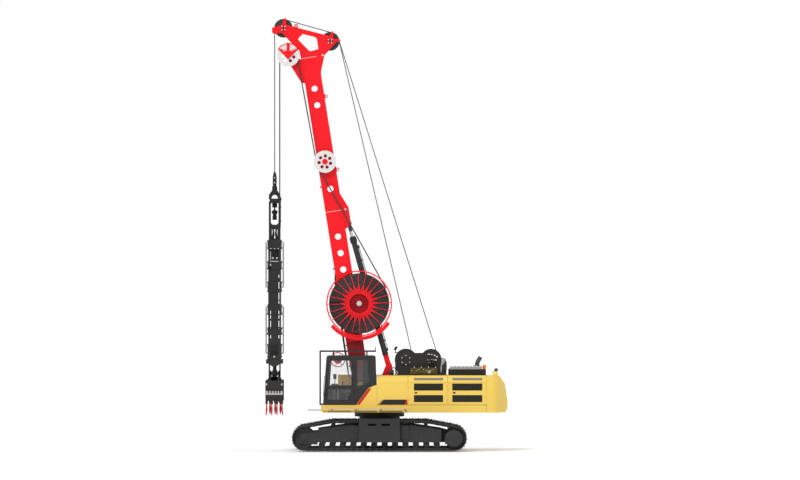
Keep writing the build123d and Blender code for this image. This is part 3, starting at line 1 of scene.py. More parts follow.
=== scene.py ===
"""Finishes, rigging and fittings for a crawler carrier with a rope-hung trench grab.

Frame: +X ahead, +Y to the operator's left, +Z up, in metres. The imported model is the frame, and every
piece made here rides on one of its bodies.
"""

import math
from functools import partial

import bmesh
import bpy
from mathutils import Matrix, Vector
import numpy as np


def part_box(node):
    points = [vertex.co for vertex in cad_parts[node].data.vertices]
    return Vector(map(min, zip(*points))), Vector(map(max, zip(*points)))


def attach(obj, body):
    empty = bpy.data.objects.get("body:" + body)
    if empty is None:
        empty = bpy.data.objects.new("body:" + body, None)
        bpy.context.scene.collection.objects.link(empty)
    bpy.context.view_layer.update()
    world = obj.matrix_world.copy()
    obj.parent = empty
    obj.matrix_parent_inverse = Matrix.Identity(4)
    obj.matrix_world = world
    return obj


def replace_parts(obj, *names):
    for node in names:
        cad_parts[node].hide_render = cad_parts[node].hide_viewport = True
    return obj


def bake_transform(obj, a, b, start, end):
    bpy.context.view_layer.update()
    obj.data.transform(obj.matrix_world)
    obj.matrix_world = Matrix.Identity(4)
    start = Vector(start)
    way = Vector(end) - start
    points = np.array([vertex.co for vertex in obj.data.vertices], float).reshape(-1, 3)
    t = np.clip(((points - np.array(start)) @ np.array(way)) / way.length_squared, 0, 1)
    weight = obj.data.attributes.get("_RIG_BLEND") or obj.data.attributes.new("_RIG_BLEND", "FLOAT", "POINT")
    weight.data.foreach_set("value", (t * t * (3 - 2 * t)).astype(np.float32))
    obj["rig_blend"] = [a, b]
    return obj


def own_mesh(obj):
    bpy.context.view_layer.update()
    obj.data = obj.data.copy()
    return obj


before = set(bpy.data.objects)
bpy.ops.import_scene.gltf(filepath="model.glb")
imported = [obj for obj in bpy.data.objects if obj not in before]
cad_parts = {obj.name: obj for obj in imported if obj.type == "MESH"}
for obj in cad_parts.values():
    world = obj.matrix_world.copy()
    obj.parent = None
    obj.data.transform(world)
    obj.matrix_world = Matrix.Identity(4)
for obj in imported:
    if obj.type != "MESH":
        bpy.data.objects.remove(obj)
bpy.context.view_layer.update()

bl_info = {
    "name": "Trench grab carrier",
    "version": (1, 0, 0),
    "blender": (4, 5, 0),
    "location": "View3D > Sidebar > Carrier",
    "description": "Dresses the packed carrier: finishes, ropes, hoses, cab, tracks and small fittings",
    "category": "Object",
}


def middle(node):
    """Centre of a CAD node's box."""
    low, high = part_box(node)
    return (low + high) / 2


# Places taken from the frame
SWING_X = middle("slew_ring").x
GRAB_X = middle("rope_falls").x
FRONT_SHEAVE = middle("front_sheaves")
REAR_SHEAVE = middle("rear_sheaves")
TOP_PULLEY = middle("hose_pulley_top")
MID_PULLEY = middle("hose_pulley_mid")
REEL = middle("hose_reel")
DRUMS = (middle("winch_drum_front"), middle("winch_drum_rear"))
AHEAD = Vector((1, 0, 0))
ACROSS = Vector((0, 1, 0))
UP = Vector((0, 0, 1))

# Boom and luffing cylinders: upright places (fwd, y, up) turned to the resting lean
BOOM_LEAN = math.radians(9)
ON_BOOM = Matrix.Translation((SWING_X + 0.63, 0, 2.25)) @ Matrix.Rotation(BOOM_LEAN, 4, "Y")
LUFF_BASE = Vector((SWING_X - 0.328, 0, 3.053))
LUFF_LEAN = math.radians(15.64)
ON_LUFF = Matrix.Translation(LUFF_BASE) @ Matrix.Rotation(LUFF_LEAN, 4, "Y")
LUFF_AXIS = ON_LUFF.to_3x3() @ UP
LUFF_FOOT = LUFF_BASE.dot(LUFF_AXIS)

# Ropes and hoses
SHEAVE_GROOVE = 0.300
DRUM_RADIUS = 0.250
DRUM_WRAPS = 20
ROPE_Y = 0.110
SOCKET_TOP = 10.026
PULLEY_GROOVE = 0.284
HOSE_GAP = 0.052
HOSE_END = 9.11
HOSE_BEND = 1.1
REEL_HUB = 0.371
REEL_WOUND = 1.085
REEL_HALF = 0.090
ROPE_SIDES = 10
HOSE_SIDES = 12
# A fall's lower tube slides in the upper one: share of its radius, share of the rope's drop, hose length
INNER_SHARE = 0.94
ROPE_INNER = 0.48
HOSE_INNER = 2.45
# Share of a winch rope over which it bends from the upper structure to the boom
ROPE_BEND = 0.2

# Boom, winches and grab
BOOM_HALF = 0.300
SPLICE_LOW = 6.450
SPLICE_HIGH = 12.050
HOLE_HEIGHTS = (4.318, 4.918, 5.518, 7.257, 10.308, 10.910)
LUFF_Y = 0.180
WINCH_FACE = 0.460
MANIFOLD_X = (-2.087, -1.097)
MANIFOLD_Z = (2.745, 2.985)
GRAB_HALF = 1.100
GRAB_BODY_X = 0.218
COLLAR_X = 0.243
COLLAR_RISE = 0.020
COLLARS = ((3.322, 3.830), (4.173, 4.426), (4.889, 5.262), (5.699, 6.082), (6.518, 6.821), (7.244, 7.580))
GRAB_NECK_HALF = 0.420
JAW_PIVOT = (0.200, 2.538)
JAW_RADIUS = 1.200
STRIP_ANGLE = math.radians(-21.5)
PAD_ANGLE = math.radians(-6.4)

# House and cab: x from the swing axis
HALF_WIDTH = 1.600
DECK_TOP = 1.663
DECK_FRONT = 2.088
HOUSE_TOP = 2.718
HOUSE_FRONT = 0.080
SHOULDER = 0.230
DOOR_LOW = 1.690
DOOR_HIGH = 2.470
SEAM_SKIN = (1.599, 1.6012)
# Side doors: front and rear edge, then the grilles' front and rear edge
DOORS = {"mid": (-1.020, -2.421, -1.237, -2.282), "rear": (-2.461, -3.834, -2.610, -3.686)}
GRILLE_ROWS = ((1.771, 2.023), (2.185, 2.437))
GRILLE_FACE = 1.5955
GRILLE_BLADES = 9
VENT_TILT = math.radians(28.3)
VENT_HALF = 0.046
VENT_RIBS = 30
BAND_Z = (1.676, 1.862)
BAND_SKIN = (1.5995, 0.002)
WALK_WIDTH = 0.420
WALK_X = (-0.95, 2.0)
WALK_TOP = 1.515
WALK_BARS = 58
STEP_TOP = 1.490
COOLER_TOP = 2.935
CAB_MIDDLE = 1.0825
CAB_FLOOR = 1.725
CAB_SIDE = 1.590

# Tracks
TRACK_Y = 1.800
SHOE_WIDTH = 0.800
SHOE_COUNT = 58
SHOE_PLATE = 0.020
SHOE_TOP = 0.058
CHAIN_HEIGHT = 0.075
LINK_Y = 0.12
AXLE_Z = 0.478
RUN_REACH = 2.68
# Wheels that the chain runs round: x from the swing axis, z, radius
RUN_WHEELS = (
    (-RUN_REACH, AXLE_Z, 0.345), (RUN_REACH, AXLE_Z, 0.345), (1.67, 0.95, 0.065), (-1.67, 0.95, 0.065),
)
DRIVE_FACE = 0.38
FRAME_HALF = 0.230
SPROCKET_TEETH = 21
ROLLER_COUNT = 12
ROLLER_SPAN = 4.114
ROLLER_FACE = 0.150
ROLLER_Z = 0.248
# A shoe on a wheel lies on a chord, this far inside the line of the flat runs
ARC_SINK = 0.011


class CarrierSizes(bpy.types.PropertyGroup):
    """Sizes of the pieces that are fitted to the frame."""

    rope: bpy.props.FloatProperty(
        name="Rope diameter", description="Hoist rope, outside its strands", default=0.032, unit="LENGTH"
    )
    hose: bpy.props.FloatProperty(
        name="Hose diameter", description="Each of the two grab hoses", default=0.042, unit="LENGTH"
    )
    bolt: bpy.props.FloatProperty(
        name="Bolt head", description="Width of a common hexagon head", default=0.036, unit="LENGTH"
    )
    # The weld width is also the width of the painted highlight lines along the boom's splices.
    weld: bpy.props.FloatProperty(
        name="Weld width", description="Width of a bead along a plate joint", default=0.022, unit="LENGTH"
    )


class CarrierColours(bpy.types.PropertyGroup):
    """Paint colours of the machine."""

    red: bpy.props.FloatVectorProperty(
        name="Boom red", description="Boom, reel and teeth",
        size=3, subtype="COLOR", default=(0.92, 0.009, 0.017),
    )
    yellow: bpy.props.FloatVectorProperty(
        name="House yellow", description="House, deck and tail",
        size=3, subtype="COLOR", default=(0.87, 0.61, 0.12),
    )
    black: bpy.props.FloatVectorProperty(
        name="Grab black", description="Grab, winches and guards",
        size=3, subtype="COLOR", default=(0.024, 0.024, 0.025),
    )
    grey: bpy.props.FloatVectorProperty(
        name="Fitting grey", description="Guides, walkways and pipes",
        size=3, subtype="COLOR", default=(0.40, 0.41, 0.42),
    )
    white: bpy.props.FloatVectorProperty(
        name="Pulley white", description="Hose pulleys",
        size=3, subtype="COLOR", default=(0.72, 0.72, 0.71),
    )


# Mesh helpers


def span(centre, half):
    """The two ends that lie half on either side of a centre."""
    return centre - half, centre + half


def on_side(side, y):
    """Low and high end of a block on one side, from its distances from the middle."""
    return sorted((side * y[0], side * y[1]))


def collar(inner, outer, height):
    """Profile of a plain ring to turn."""
    return (inner, 0), (outer, 0), (outer, height), (inner, height)


def turned_to(direction):
    """Rotation that lays a local Z axis along direction."""
    return direction.to_track_quat("Z", "Y").to_matrix().to_4x4()


def add_block(bm, low, high, edge=0.004, place=None):
    """A block between two corners with broken edges."""
    low, high = Vector(low), Vector(high)
    verts = bmesh.ops.create_cube(bm, size=1)["verts"]
    shape = Matrix.Translation((low + high) / 2) @ Matrix.Diagonal((*(high - low), 1))
    bmesh.ops.transform(bm, matrix=(place or Matrix()) @ shape, verts=verts)
    if edge:
        edges = list({e for v in verts for e in v.link_edges})
        bmesh.ops.bevel(
            bm, geom=edges, offset=edge, offset_type="OFFSET", affect="EDGES",
            segments=1, profile=0.5, material=-1,
        )


def add_bar(bm, start, end, radius, segments=14, far_radius=None):
    """A round bar, or a tapered one, between two places."""
    start, end = Vector(start), Vector(end)
    run = end - start
    far = radius if far_radius is None else far_radius
    verts = bmesh.ops.create_cone(
        bm, cap_ends=True, cap_tris=False, segments=segments, radius1=radius, radius2=far, depth=run.length
    )["verts"]
    bmesh.ops.transform(bm, matrix=Matrix.Translation((start + end) / 2) @ turned_to(run), verts=verts)


def add_bolt(bm, seat, axis, width, height=0.6):
    """A hexagon head on a washer, standing on seat along axis."""
    axis = Vector(axis).normalized()
    add_bar(bm, seat, Vector(seat) + axis * width * 0.14, width * 0.72, 12)
    add_bar(bm, seat, Vector(seat) + axis * width * height, width * 0.56, 6, width * 0.5)


def add_bolt_ring(bm, centre, axis, radius, count, width, first=0.0):
    """A circle of bolts round an axis."""
    axis = Vector(axis).normalized()
    spoke = axis.orthogonal().normalized() * radius
    for index in range(count):
        turn = Matrix.Rotation(first + 2 * math.pi * index / count, 3, axis)
        add_bolt(bm, Vector(centre) + turn @ spoke, axis, width)


def add_turned(bm, centre, axis, profile, steps=32):
    """A closed shape turned round an axis from (out, along) places."""
    place = Matrix.Translation(centre) @ turned_to(Vector(axis))
    verts = [bm.verts.new(place @ Vector((out, 0, along))) for out, along in profile]
    edges = [bm.edges.new(pair) for pair in zip(verts, verts[1:])]
    bmesh.ops.spin(
        bm, geom=verts + edges, cent=centre, axis=Vector(axis), dvec=(0, 0, 0),
        angle=2 * math.pi, steps=steps, use_merge=True, use_duplicate=False,
    )


def add_plate(bm, points, thickness):
    """A flat plate: an outline of places, carried along thickness."""
    face = bm.faces.new([bm.verts.new(Vector(p)) for p in points])
    made = bmesh.ops.extrude_face_region(bm, geom=[face])["geom"]
    verts = [g for g in made if isinstance(g, bmesh.types.BMVert)]
    bmesh.ops.translate(bm, vec=Vector(thickness), verts=verts)


def start_tube(bm, place, heading, radius, segments):
    """First ring of a tube, marked with its turn and length for the lay of a rope or hose."""
    round_layer = bm.verts.layers.float.get("turn") or bm.verts.layers.float.new("turn")
    length_layer = bm.verts.layers.float.get("length") or bm.verts.layers.float.new("length")
    verts = bmesh.ops.create_circle(bm, cap_ends=False, segments=segments, radius=radius)["verts"]
    for index, vert in enumerate(verts):
        vert[round_layer], vert[length_layer] = index / segments, 0.0
    bmesh.ops.transform(bm, matrix=Matrix.Translation(place) @ turned_to(heading), verts=verts)
    return list({e for v in verts for e in v.link_edges})


def advance(bm, verts, length):
    layer = bm.verts.layers.float["length"]
    for vert in verts:
        vert[layer] += length


def run_tube(bm, ring, travel, steps=1):
    """Carries a tube's last ring straight on."""
    step = travel / steps
    for _ in range(steps):
        made = bmesh.ops.extrude_edge_only(bm, edges=ring)["geom"]
        verts = {g for g in made if isinstance(g, bmesh.types.BMVert)}
        bmesh.ops.translate(bm, vec=step, verts=list(verts))
        advance(bm, verts, step.length)
        ring = [g for g in made if isinstance(g, bmesh.types.BMEdge) and verts.issuperset(g.verts)]
    return ring


def wrap_tube(bm, ring, centre, angle, steps, axis=ACROSS):
    """Carries a tube's last ring round a wheel."""
    for _ in range(steps):
        verts = list({v for e in ring for v in e.verts})
        seat = sum((v.co for v in verts), Vector()) / len(verts)
        reach = (seat - Vector(centre)).cross(axis).length
        made = bmesh.ops.spin(
            bm, geom=verts + ring, cent=centre, axis=axis, dvec=(0, 0, 0), angle=angle / steps, steps=1,
            use_merge=False, use_duplicate=False,
        )["geom_last"]
        ring = [g for g in made if isinstance(g, bmesh.types.BMEdge)]
        advance(bm, {v for e in ring for v in e.verts}, abs(angle) / steps * reach)
    return ring


def write_lay(bm):
    """Puts each tube's turn and length into its UV map and closes its ends."""
    turn, length = bm.verts.layers.float["turn"], bm.verts.layers.float["length"]
    lay = bm.loops.layers.uv.new("lay")
    for face in bm.faces:
        turns = [loop.vert[turn] for loop in face.loops]
        crosses = max(turns) - min(turns) > 0.5
        for loop, value in zip(face.loops, turns):
            loop[lay].uv = (value + (1 if crosses and value < 0.5 else 0), loop.vert[length])
    bmesh.ops.holes_fill(bm, edges=bm.edges, sides=0)


def add_piece(name, bm, material, body, sharp=35):
    """Finishes a mesh as a piece that rides on a body. With None for the body it is left for a blend."""
    bmesh.ops.remove_doubles(bm, verts=bm.verts, dist=1e-5)
    bmesh.ops.recalc_face_normals(bm, faces=bm.faces)
    mesh = bpy.data.meshes.new(name)
    bm.to_mesh(mesh)
    bm.free()
    mesh.shade_smooth()
    mesh.set_sharp_from_angle(angle=math.radians(sharp))
    mesh.materials.append(bpy.data.materials[material])
    piece = bpy.data.objects.new(name, mesh)
    bpy.context.scene.collection.objects.link(piece)
    if body:
        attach(piece, body)
    return piece


def touch_points(near, near_radius, far, far_radius, side, crossed=False):
    """Ends of the line that touches two wheels. Side +1 is to the left going from near to far."""
    run = far - near
    length = math.hypot(run.x, run.z)
    heading = Vector((run.x / length, 0, run.z / length))
    across = Vector((-heading.z, 0, heading.x)) * side
    far_sign = -1 if crossed else 1
    lift = (near_radius - far_sign * far_radius) / length
    normal = heading * lift + across * math.sqrt(1 - lift * lift)
    return near + normal * near_radius, far + normal * far_sign * far_radius


def wheel_angle(centre, place):
    """Angle of a place round a cross axle, from ahead towards up."""
    return math.atan2(place.z - centre.z, place.x - centre.x)


def add_pipe(bm, points, radius):
    """A bent pipe along one smooth curve that has the places as its control points."""
    curve = bpy.data.curves.new("pipe_line", "CURVE")
    curve.dimensions = "3D"
    curve.bevel_depth, curve.bevel_resolution, curve.resolution_u = radius, 3, 6
    curve.use_fill_caps = True
    spline = curve.splines.new("NURBS")
    spline.points.add(len(points) - 1)
    for point, place in zip(spline.points, points):
        point.co = (*place, 1.0)
    spline.order_u, spline.use_endpoint_u = 3, True
    holder = bpy.data.objects.new("pipe_line", curve)
    mesh = bpy.data.meshes.new_from_object(holder)
    bm.from_mesh(mesh)
    bpy.data.objects.remove(holder)
    bpy.data.curves.remove(curve)
    bpy.data.meshes.remove(mesh)


def add_side_block(bm, side, x, y, z, edge=0.0):
    """A block on one side of the machine: x from the swing axis, y as a distance from the middle."""
    near, far = on_side(side, y)
    add_block(bm, (SWING_X + x[0], near, z[0]), (SWING_X + x[1], far, z[1]), edge)


def add_side_plate(bm, side, outline, y, thickness):
    """A flat plate on one side of the machine from (x, z) places, x from the swing axis."""
    add_plate(bm, [(SWING_X + x, side * y, z) for x, z in outline], (0, side * thickness, 0))


# Finishes


def wire(tree, node, inputs):
    """Links or sets a node's inputs by name or index."""
    for key, value in inputs.items():
        if isinstance(value, bpy.types.NodeSocket):
            tree.links.new(value, node.inputs[key])
        else:
            node.inputs[key].default_value = value
    return node


def add_node(tree, kind, inputs=None, **settings):
    """A shader node with its settings and inputs."""
    made = tree.nodes.new("ShaderNode" + kind)
    for name, value in settings.items():
        setattr(made, name, value)
    return wire(tree, made, inputs or {})


def new_group(name, inputs):
    """A shader group with its sockets: its tree, its input sockets and its output node."""
    tree = bpy.data.node_groups.new(name, "ShaderNodeTree")
    for label, kind, value in inputs:
        socket = tree.interface.new_socket(label, in_out="INPUT", socket_type="NodeSocket" + kind)
        socket.default_value = value
    for label, kind in (("Colour", "Color"), ("Roughness", "Float"), ("Height", "Float")):
        tree.interface.new_socket(label, in_out="OUTPUT", socket_type="NodeSocket" + kind)
    return tree, tree.nodes.new("NodeGroupInput").outputs, tree.nodes.new("NodeGroupOutput")


def new_material(name):
    """A material's tree and Principled shader. Its name mustn't be one of the CAD's own."""
    if name in bpy.data.materials:
        raise RuntimeError(f"finish {name} exists already")
    material = bpy.data.materials.new(name)
    material.use_nodes = True
    tree = material.node_tree
    return tree, tree.nodes["Principled BSDF"]


def position(tree):
    return add_node(tree, "TexCoord").outputs["Object"]


def noise(tree, vector, scale, detail=3.0, roughness=0.5):
    inputs = {"Vector": vector, "Scale": scale, "Detail": detail, "Roughness": roughness}
    return add_node(tree, "TexNoise", inputs).outputs["Fac"]


def stretched(tree, vector, scale):
    return add_node(tree, "Mapping", {"Vector": vector, "Scale": scale}).outputs["Vector"]


def along(tree, axis):
    """How far each place of a piece lies along an axis."""
    inputs = {0: position(tree), 1: axis}
    return add_node(tree, "VectorMath", inputs, operation="DOT_PRODUCT").outputs["Value"]


def remap(tree, value, low, high, to_low=0.0, to_high=1.0):
    inputs = {"Value": value, "From Min": low, "From Max": high, "To Min": to_low, "To Max": to_high}
    return add_node(tree, "MapRange", inputs).outputs["Result"]


def maths(tree, operation, first, second=0.0, clamp=False):
    return add_node(tree, "Math", {0: first, 1: second}, operation=operation, use_clamp=clamp).outputs[0]


def times(tree, first, second, clamp=False):
    return maths(tree, "MULTIPLY", first, second, clamp)


def plus(tree, first, second, clamp=False):
    return maths(tree, "ADD", first, second, clamp)


def mix(tree, share, first, second, blend="MIX"):
    """Colours sit on the Mix node's inputs 6 and 7 and on its output 2."""
    inputs = {0: share, 6: first, 7: second}
    return add_node(tree, "Mix", inputs, data_type="RGBA", blend_type=blend).outputs[2]


def rgba(colour):
    return (*colour[:3], 1.0)


def add_bump(tree, shader, height, strength, distance):
    made = add_node(tree, "Bump", {"Height": height, "Strength": strength, "Distance": distance})
    wire(tree, shader, {"Normal": made.outputs["Normal"]})


def build_paint_group():
    """Enamel that fades, streaks and gathers dust low down."""
    tree, given, result = new_group("paint_ageing", (
        ("Colour", "Color", (0.5, 0.5, 0.5, 1)), ("Fade", "Float", 0.4), ("Dust", "Float", 0.3),
        ("Dust Height", "Float", 2.0), ("Gloss Roughness", "Float", 0.32),
    ))
    place = position(tree)
    broad = noise(tree, place, 0.7, 3.0)
    streak = noise(tree, stretched(tree, place, (7, 7, 0.55)), 1.0, 4.0, 0.6)
    speck = noise(tree, place, 38.0, 4.0, 0.7)
    peel = noise(tree, place, 260.0, 1.0)
    tone = times(tree, remap(tree, broad, 0.35, 0.65), given["Fade"])
    darker = mix(tree, 1.0, given["Colour"], (0.80, 0.78, 0.76, 1), "MULTIPLY")
    colour = mix(tree, times(tree, tone, 0.35), given["Colour"], darker)
    runs = times(tree, remap(tree, streak, 0.56, 0.74), given["Fade"])
    colour = mix(tree, times(tree, runs, 0.30), colour, darker)
    low = remap(tree, along(tree, UP), 0.0, given["Dust Height"], 1.0, 0.0)
    dust = times(tree, times(tree, low, remap(tree, speck, 0.38, 0.66)), given["Dust"], True)
    rough = plus(tree, given["Gloss Roughness"], times(tree, dust, 0.35))
    wire(tree, result, {
        "Colour": mix(tree, dust, colour, (0.24, 0.20, 0.15, 1)),
        "Roughness": plus(tree, rough, remap(tree, speck, 0.3, 0.7, -0.03, 0.05), True),
        "Height": plus(tree, peel, times(tree, dust, 2.0)),
    })


def build_metal_group():
    """Metal with a grain and worn patches."""
    tree, given, result = new_group("metal_grain", (
        ("Colour", "Color", (0.5, 0.5, 0.5, 1)), ("Stretch", "Vector", (30.0, 30.0, 30.0)),
        ("Wear", "Float", 0.4), ("Base Roughness", "Float", 0.4),
    ))
    place = position(tree)
    scaled = add_node(tree, "VectorMath", {0: place, 1: given["Stretch"]}, operation="MULTIPLY")
    grain = noise(tree, scaled.outputs["Vector"], 1.0, 5.0, 0.65)
    patch = noise(tree, place, 5.0, 4.0, 0.6)
    worn = times(tree, remap(tree, patch, 0.46, 0.66), given["Wear"])
    rust = mix(tree, 1.0, given["Colour"], (0.62, 0.50, 0.40, 1), "MULTIPLY")
    shade = mix(tree, remap(tree, grain, 0.3, 0.7, 0.0, 0.35), given["Colour"], rust)
    rough = plus(tree, given["Base Roughness"], remap(tree, grain, 0.3, 0.7, -0.07, 0.10))
    wire(tree, result, {
        "Colour": mix(tree, worn, shade, rust),
        "Roughness": plus(tree, rough, times(tree, worn, 0.25), True),
        "Height": grain,
    })


def use_group(tree, shader, group, inputs, bump, distance):
    """Places a shared effect in a material, feeds the shader from it and returns its node."""
    made = add_node(tree, "Group", inputs, node_tree=bpy.data.node_groups[group])
    wire(tree, shader, {"Base Color": made.outputs["Colour"], "Roughness": made.outputs["Roughness"]})
    add_bump(tree, shader, made.outputs["Height"], bump, distance)
    return made


def paint(name, colour, fade=0.4, dust=0.25, dust_height=2.2, gloss=0.36, coat=0.03):
    """An enamel finish: its tree and its effect's node."""
    tree, shader = new_material(name)
    wire(tree, shader, {"Specular IOR Level": 0.16, "Coat Weight": coat, "Coat Roughness": 0.12})
    inputs = {"Colour": rgba(colour), "Fade": fade, "Dust": dust, "Dust Height": dust_height}
    inputs["Gloss Roughness"] = gloss
    return tree, use_group(tree, shader, "paint_ageing", inputs, 0.12, 0.0006)


def metal(name, colour, metallic, stretch, wear, rough, bump=0.2):
    """A metal finish: its tree, its shader and its effect's node."""
    tree, shader = new_material(name)
    wire(tree, shader, {"Metallic": metallic})
    inputs = {"Colour": rgba(colour), "Stretch": stretch, "Wear": wear, "Base Roughness": rough}
    return tree, shader, use_group(tree, shader, "metal_grain", inputs, bump, 0.0008)


def zone(tree, effect, base, other, mask):
    """Changes a finish's colour to another one where the mask says."""
    wire(tree, effect, {"Colour": mix(tree, mask, rgba(base), rgba(other))})


# Paints: colour or the name of a machine colour, fade, dust, dust height, gloss roughness, coat
PAINTS = {
    "boom_red": ("red", 0.35, 0.0, 2.2, 0.34),
    "house_yellow": ("yellow", 0.30, 0.20, 2.3),
    "tail_casting": ("yellow", 0.35, 0.20, 2.3, 0.42),
    "grab_black": ("black", 0.5, 0.25, 5.0, 0.46, 0.0),
    "jaw_black": ("black", 0.6, 0.35, 3.4, 0.5, 0.0),
    "tooth_red": ((0.66, 0.018, 0.026), 0.6, 0.25, 2.4, 0.45, 0.0),
    # A darker copy of the teeth's red for the far jaw's teeth: painted shade.
    "tooth_shaded_red": ((0.25, 0.02, 0.02), 0.7, 0.35, 2.4, 0.5, 0.0),
    "winch_black": ((0.026, 0.026, 0.027), 0.5, 0.1, 2.2, 0.44),
    "cab_charcoal": ((0.032, 0.032, 0.034), 0.4, 0.1, 2.2, 0.42),
    "fitting_grey": ("grey", 0.4, 0.2, 2.5, 0.44),
    "walk_grey": ((0.52, 0.52, 0.50), 0.5, 0.2, 2.0, 0.5),
    "vent_grey": ((0.24, 0.24, 0.23), 0.4, 0.1, 2.2, 0.5),
    "panel_black": ((0.010, 0.010, 0.011), 0.3, 0.1, 2.2, 0.5, 0.0),
    "strip_pale": ((0.50, 0.50, 0.49), 0.6, 0.2, 2.6, 0.42),
    "pulley_paint": ("white", 0.5, 0.0, 2.2, 0.4),
    "engine_paint": ((0.2, 0.21, 0.22), 0.5, 0.2, 2.2, 0.5, 0.0),
    "track_frame_black": ((0.034, 0.034, 0.036), 0.5, 0.12, 1.0, 0.5, 0.0),
    "grille_black": ((0.030, 0.027, 0.020), 0.4, 0.1, 2.2, 0.5, 0.0),
    "seam_dark": ((0.055, 0.032, 0.012), 0.4, 0.0, 2.2, 0.6, 0.0),
    "band_black": ((0.020, 0.020, 0.021), 0.3, 0.15, 2.2, 0.34),
    "stripe_red": ((0.62, 0.02, 0.02), 0.3, 0.15, 2.2, 0.34),
    "valve_olive": ((0.085, 0.075, 0.035), 0.6, 0.1, 2.2, 0.5, 0.0),
    # Dark red: on the ribs in the reel's recessed hub it is painted shade in the recess; the boom's axle
    # keeper plates are painted with it too.
    "hub_shade_and_plate_red": ((0.33, 0.010, 0.016), 0.4, 0.0, 2.2, 0.4),
}
# Metals: colour, metallic, grain stretch, wear, roughness, bump
METALS = {
    "shoe_steel": ((0.048, 0.048, 0.049), 0.4, (18, 18, 18), 0.4, 0.55, 0.4),
    "sheave_dark": ((0.055, 0.055, 0.056), 0.6, (20, 20, 20), 0.4, 0.45),
    "machined_steel": ((0.45, 0.45, 0.46), 1.0, (12, 60, 12), 0.3, 0.36),
    "bolt_zinc": ((0.66, 0.66, 0.64), 0.7, (40, 40, 40), 0.2, 0.36),
    "bolt_dark": ((0.075, 0.073, 0.070), 0.7, (40, 40, 40), 0.4, 0.42),
    "exhaust_dark": ((0.085, 0.083, 0.082), 0.3, (24, 24, 4), 0.7, 0.5),
    # Pale pink lines along the boom's splices: a painted highlight where the joints catch the light.
    "splice_highlight": ((0.78, 0.36, 0.34), 0.2, (8, 8, 55), 0.2, 0.5, 0.6),
}
# Paints in two colours: the colours, an axis, where along it the second lies, then the rest as in PAINTS
TWO_COLOURS = {
    "cooler_black": (
        (0.030, 0.030, 0.031), (0.34, 0.35, 0.36), UP, "GREATER_THAN", COOLER_TOP + 0.0001,
        0.5, 0.0, 2.2, 0.45,
    ),
    "lamp_orange": (
        (0.85, 0.22, 0.01), (0.03, 0.03, 0.03), AHEAD, "LESS_THAN", SWING_X - 3.9,
        0.2, 0.0, 2.2, 0.2,
    ),
    "walk_yellow": (
        "yellow", (0.48, 0.48, 0.46), AHEAD, "GREATER_THAN", SWING_X + DECK_FRONT + 0.01,
        0.35, 0.25, 2.0,
    ),
    "barrel_black": (
        (0.040, 0.040, 0.042), "red", LUFF_AXIS, "LESS_THAN", LUFF_FOOT + 0.43,
        0.4, 0.0, 2.2, 0.4,
    ),
}
CHROME, ROD_EYE = (0.72, 0.72, 0.74), (0.03, 0.03, 0.032)


def build_finishes(colours):
    """Every finish, named for what wears it."""

    def tint(colour):
        return getattr(colours, colour) if isinstance(colour, str) else colour

    build_paint_group()
    build_metal_group()
    for name, (colour, *finish) in PAINTS.items():
        paint(name, tint(colour), *finish)
    for name, finish in METALS.items():
        metal(name, *finish)
    for name, (base, other, axis, sense, limit, *finish) in TWO_COLOURS.items():
        tree, effect = paint(name, tint(base), *finish)
        zone(tree, effect, tint(base), tint(other), maths(tree, sense, along(tree, axis), limit))
    # The lower boom's red darkens below the hose reel, from 4.35 m down to its darkest at 3.85 m: painted
    # shade under the reel.
    tree, effect = paint("boom_foot_shaded_red", colours.red, 0.35, 0.0, 2.2, 0.34)
    under_reel_shade = remap(tree, along(tree, UP), 4.35, 3.85, 0.0, 0.85)
    zone(tree, effect, colours.red, (0.19, 0.011, 0.016), under_reel_shade)
    tree, shader, effect = metal("chromed_rod", CHROME, 1.0, (60, 60, 3), 0.0, 0.12, 0.05)
    eye = maths(tree, "GREATER_THAN", along(tree, LUFF_AXIS), LUFF_FOOT + 5.02)
    zone(tree, effect, CHROME, ROD_EYE, eye)
    wire(tree, shader, {"Metallic": maths(tree, "SUBTRACT", 1.0, eye)})
    build_soft_finishes()


